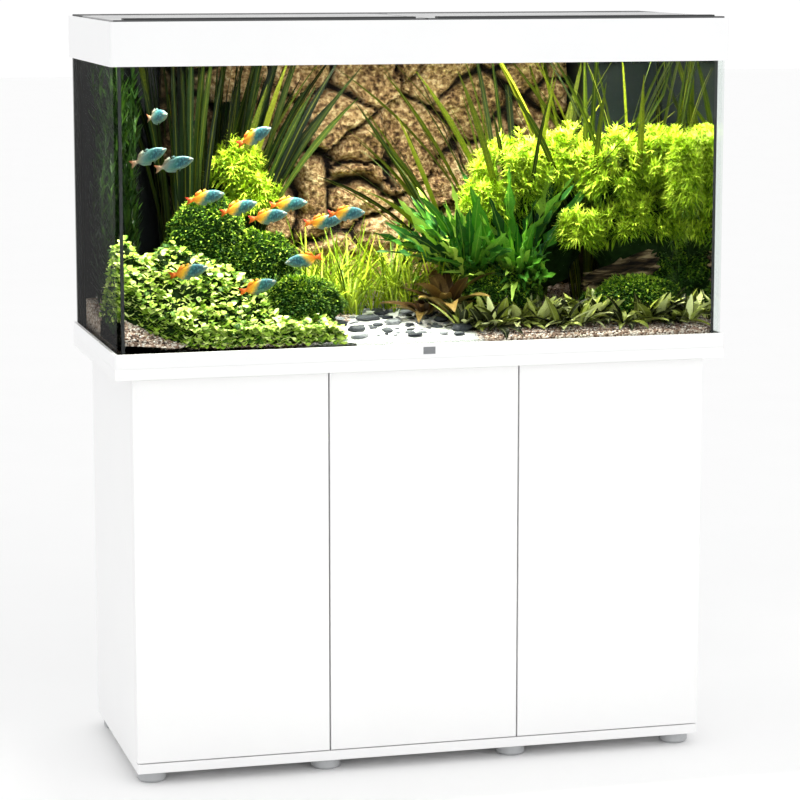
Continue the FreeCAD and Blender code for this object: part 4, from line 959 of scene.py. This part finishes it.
# Painted shade: a dark mat under the carpet, for the shade in the gaps between the leaves.
mat_low = Vector((bed_low.x, bed_low.y, tank_floor + 0.010))
mat_high = Vector((-0.135, 0.052, tank_floor + 0.016))
carpet_mat = slab_with_top(mat_low, mat_high, up, 90)
rows = points_of(carpet_mat)
top = rows[:, 2] > tank_floor + 0.015
x, y = rows[top, 0], rows[top, 1]
rows[top, 2] = bed_height(x, y) + (carpet_top(x, y) + 0.006) * carpet_edge(x, y) - 0.008
set_points(carpet_mat, rows)
settle(carpet_mat, "left_carpet_mat", core, "plants_left")
count = 8200
x = rng.uniform(-0.99, -0.27, count) * inside_x
y = -0.234 + 0.286 * rng.uniform(0.0, 1.0, count) ** 1.2 * (0.25 + 0.75 * smooth_step(-x, 0.14, 0.36))
skirt = rng.uniform(0.0, 1.0, count)
y = np.where(skirt < 0.14, gravel_edge(x) + 0.016 * rng.uniform(0.0, 1.0, count), y)
x = np.where(skirt > 0.93, 0.002 - inside_x + 0.024 * rng.uniform(0.0, 1.0, count), x)
bases = np.column_stack([x, y, bed_height(x, y) + carpet_top(x, y) * carpet_edge(x, y)])
bases[:, 2] += rng.uniform(-0.010, 0.008, count)
bases = bases[y > gravel_edge(x)]
count = len(bases)
heading = np.pi / 2 + rng.normal(0.0, 1.0, count)
leaves = (bases, heading, rng.uniform(0.1, 1.1, count), 0.5, rng.uniform(0.008, 0.015, count))
grow("left_carpet", "plants_left", rounds, leaves, rng.uniform(0.008, 0.014, count), carpet_green,
     (4.1, 2.3), 0.12)

# The driftwood: a stump of bog wood that lies across the bed at the right, dark with age, with
# bark ridges along it.

wood, shader, place = finish_named("bog_wood", {"Roughness": 0.8, "Specular IOR Level": 0.15})
bark = noise_of(place.scaled(14.0, 90.0, 90.0), 1.0, 5.0)
bog_browns = [(0.40, (0.006, 0.004, 0.002)), (0.50, (0.060, 0.038, 0.018)), (0.62, (0.34, 0.25, 0.14))]
ramp_of(bark, bog_browns).feed(shader["Base Color"])
raised(bark, 0.012).feed(shader["Normal"])
wood_low, wood_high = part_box("driftwood")
trunk = bare(bpy.ops.mesh.primitive_cylinder_add, vertices=28, radius=0.5, depth=1.0, end_fill_type="TRIFAN")
edit(trunk, lambda normal: True, lambda: bpy.ops.mesh.subdivide(number_cuts=5))
rows = points_of(trunk)
rows = rows[:, [2, 1, 0]] * np.array([1.0, -1.0, 1.0])
rows *= (1.0 + 0.30 * lumps(rows * np.array([1.0, 2.4, 2.4]), 2.6, 4))[:, None]
ridges = 1.0 + 0.10 * np.sin(np.arctan2(rows[:, 1], rows[:, 2]) * 9 + rows[:, 0] * 3)
rows[:, 1:] *= ridges[:, None]
rows[:, 2] += 0.75 * rows[:, 0]
span = np.array(wood_high - wood_low)
middle = np.array(wood_high + wood_low) / 2
set_points(trunk, rows / np.ptp(rows, axis=0) * span + middle)
settle(trunk, "driftwood_stump", wood, "driftwood")

# The fish: a shoal of deep-bodied rainbow-like fish, all one shape. The scales are small and
# wet, blue-green forward and orange behind, and the fins are thin and clear at their edges.

skins = []
for name, rear in (("fish_scales", ((0.80, 0.42, 0.020), (0.70, 0.16, 0.010), (0.42, 0.020, 0.010))),
                   ("pale_scales", ((0.10, 0.20, 0.19), (0.24, 0.22, 0.15), (0.42, 0.14, 0.06)))):
    scales, shader, place = finish_named(name, {"Roughness": 0.45, "Specular IOR Level": 0.25})
    sheet = place.node("ShaderNodeUVMap", {"uv_map": "OFBake"}, {})
    along = sheet.axis(0)
    height = sheet.axis(1)
    stretched = sheet.scaled(1.0, 0.5, 1.0)
    mottle = noise_of(stretched, 22.0, 5.0)
    body = ramp_of(along + (mottle - 0.5) * 0.16 + (height - 0.5) * 0.45, [
        (0.00, (0.20, 0.22, 0.18)), (0.12, (0.040, 0.090, 0.095)), (0.34, (0.008, 0.065, 0.095)),
        (0.46, (0.030, 0.140, 0.125)), (0.60, rear[0]), (0.76, rear[1]), (1.00, rear[2])])
    blotched = mixed((mottle - 0.50) * 7.0, body, (0.070, 0.24, 0.26))
    front_share = ((0.49 - along) * 12.0).clamped(0.0, 0.8)
    belly = ((0.40 - height) * 2.0).maths("MAXIMUM", 0.0)
    shaded = mixed(belly, mixed(front_share, body, blotched), (0.24, 0.26, 0.19))
    eye = (0.085, 0.56, 0.0)
    from_eye = sheet.node("ShaderNodeVectorMath", {"operation": "DISTANCE"}, {0: sheet, 1: eye}, 1)
    eyed = mixed(from_eye < 0.030, shaded, (0.70, 0.66, 0.50))
    mixed(from_eye < 0.017, eyed, (0.004, 0.004, 0.006)).feed(shader["Base Color"])
    raised(cells_of(stretched, 55.0), 0.0002).feed(shader["Normal"])
    skins.append(scales)
fish_long = 0.080
fish_deep = 0.025
fish_thick = 0.011


def fin(points):
    """A thin fin: a flat outline in shares of the fish's length, given a little thickness."""
    piece = bare(bpy.ops.mesh.primitive_circle_add, vertices=len(points), fill_type="NGON")
    rows = np.array([(x, 0.0, z) for x, z in points]) * fish_long
    set_points(piece, rows)
    skin = piece.modifiers.new("skin", "SOLIDIFY")
    skin.thickness = 0.0006
    skin.offset = 0.0
    bpy.ops.object.modifier_apply(modifier="skin")
    return piece


def fish_shape():
    """One fish a body's length long, nose at minus X: its points, faces and map."""
    trunk = bare(bpy.ops.mesh.primitive_uv_sphere_add, segments=20, ring_count=22, radius=0.5,
                 rotation=(0.0, math.pi / 2, 0.0))
    bpy.ops.object.transform_apply(location=True, rotation=True, scale=True)
    rows = points_of(trunk)
    share = rows[:, 0] + 0.5
    across = np.sqrt(np.maximum(rows[:, 1] ** 2 + rows[:, 2] ** 2, 1e-12))
    profile = np.interp(share, [0, 0.04, 0.12, 0.25, 0.42, 0.6, 0.78, 0.92, 1.0],
                        [0.10, 0.24, 0.52, 0.84, 1.0, 0.92, 0.62, 0.34, 0.26])
    width = np.interp(share, [0, 0.05, 0.15, 0.35, 0.6, 0.9, 1.0], [0.15, 0.5, 0.9, 1.0, 0.7, 0.2, 0.06])
    rows[:, 2] *= profile / across * fish_deep / 2
    rows[:, 1] *= width / across * fish_thick / 2
    rows[:, 0] = (rows[:, 0] * 0.80 - 0.10) * fish_long
    set_points(trunk, rows)
    fins = [fin([(0.26, -0.03), (0.46, -0.10), (0.41, 0.0), (0.46, 0.10), (0.26, 0.03)]),
            fin([(-0.12, 0.14), (-0.06, 0.20), (0.0, 0.19), (0.0, 0.14)]),
            fin([(0.02, 0.13), (0.05, 0.20), (0.18, 0.15), (0.25, 0.06), (0.14, 0.06)]),
            fin([(-0.06, -0.14), (0.0, -0.20), (0.17, -0.15), (0.26, -0.06), (0.14, -0.05)]),
            fin([(-0.20, -0.12), (-0.10, -0.20), (-0.13, -0.12)])]
    pick(trunk, *fins)
    bpy.ops.object.join()
    return trunk


model = fish_shape()
pale_fish = 3
shoal = [(-0.830, -0.34, 1.270, -70, -8), (-0.873, -0.50, 1.196, 5, -22), (-0.795, -0.58, 1.183, 0, -14),
         (-0.518, -0.42, 1.230, 8, -24), (-0.673, -0.30, 1.113, 0, -10), (-0.557, -0.25, 1.090, 5, -14),
         (-0.474, -0.42, 1.076, -6, -8), (-0.382, -0.17, 1.094, 0, -3), (-0.280, -0.34, 1.062, -5, -4),
         (-0.215, -0.48, 1.080, 6, 0), (-0.364, -0.58, 0.995, 185, 8), (-0.756, -0.62, 0.979, -6, -12),
         (-0.527, -0.62, 0.946, 4, -14)]
for number, (across, deep, z, turn, dip) in enumerate(shoal, 1):
    one = model.copy()
    one.data = model.data.copy()
    bpy.context.scene.collection.objects.link(one)
    rows = points_of(one)
    lay_map(one.data, np.stack([rows[:, 0] / fish_long + 0.5, rows[:, 2] / (0.54 * fish_long) + 0.5], 1))
    one.location = (*shares(across, deep), z)
    one.rotation_euler = (0.0, math.radians(-dip), math.radians(180 + turn))
    settle(one, f"fish_{number:02d}", skins[number <= pale_fish], "fish")
bpy.data.objects.remove(model)

# The room: a pale floor, and plain soft light from all round with a broad lamp to the front.
# A second lamp under the light bar stands for the tubes' light. The camera is at the front left.

paper, shader, place = finish_named("pale_floor", {"Roughness": 0.9})
mixed(noise_of(place, 3.0), (0.93, 0.93, 0.93), (0.95, 0.95, 0.95)).feed(shader["Base Color"])
floor = bare(bpy.ops.mesh.primitive_plane_add, size=60.0)
floor.name = "studio_floor"
floor.data.materials.append(paper)
floor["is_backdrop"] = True
world = bpy.data.worlds.new("studio")
world.use_nodes = True
world.node_tree.nodes["Background"].inputs["Color"].default_value = (1.0, 1.0, 1.0, 1.0)
world.node_tree.nodes["Background"].inputs["Strength"].default_value = 1.03
bpy.context.scene.world = world


def lamp(name, place, size, power, look, colour=(1.0, 1.0, 1.0)):
    """A soft rectangular lamp at a place, turned towards another place."""
    light = bpy.data.lights.new(name, "AREA")
    light.shape = "RECTANGLE"
    light.size, light.size_y = size
    light.energy = power
    light.color = colour
    holder = bpy.data.objects.new(name, light)
    bpy.context.scene.collection.objects.link(holder)
    holder.location = place
    holder.rotation_euler = (Vector(look) - Vector(place)).to_track_quat("-Z", "Y").to_euler()
    holder.visible_camera = False


lamp("front_lamp", (1.5, -4.0, 2.6), (3.0, 2.0), 16.0, (0.0, 0.0, 0.8))
light_low, light_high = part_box("light_housing")
lamp_y = (light_low.y + light_high.y) / 2 - 0.05
below_lamp = (0.0, lamp_y + 0.001, 0.0)
warm_white = (1.0, 0.95, 0.86)
lamp_place = (0.0, lamp_y, light_low.z - 0.012)
lamp("tank_light", lamp_place, (light_high.x * 1.9, 0.10), 30.0, below_lamp, warm_white)
view = bpy.data.cameras.new("view")
view.lens = 128.54
view.sensor_width = 36.0
camera = bpy.data.objects.new("view", view)
camera.location = (-1.4536, -5.4717, 1.5889)
looks_down = 9.008
looks_right = 15.004
camera.rotation_euler = (math.radians(90.0 - looks_down), 0.0, -math.radians(looks_right))
bpy.context.scene.collection.objects.link(camera)
bpy.context.scene.camera = camera
bpy.context.scene.view_settings.view_transform = "Standard"

sizes = {"cad": [list(corner) for corner in cad_bounds], "visual": [list(corner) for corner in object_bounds()]}
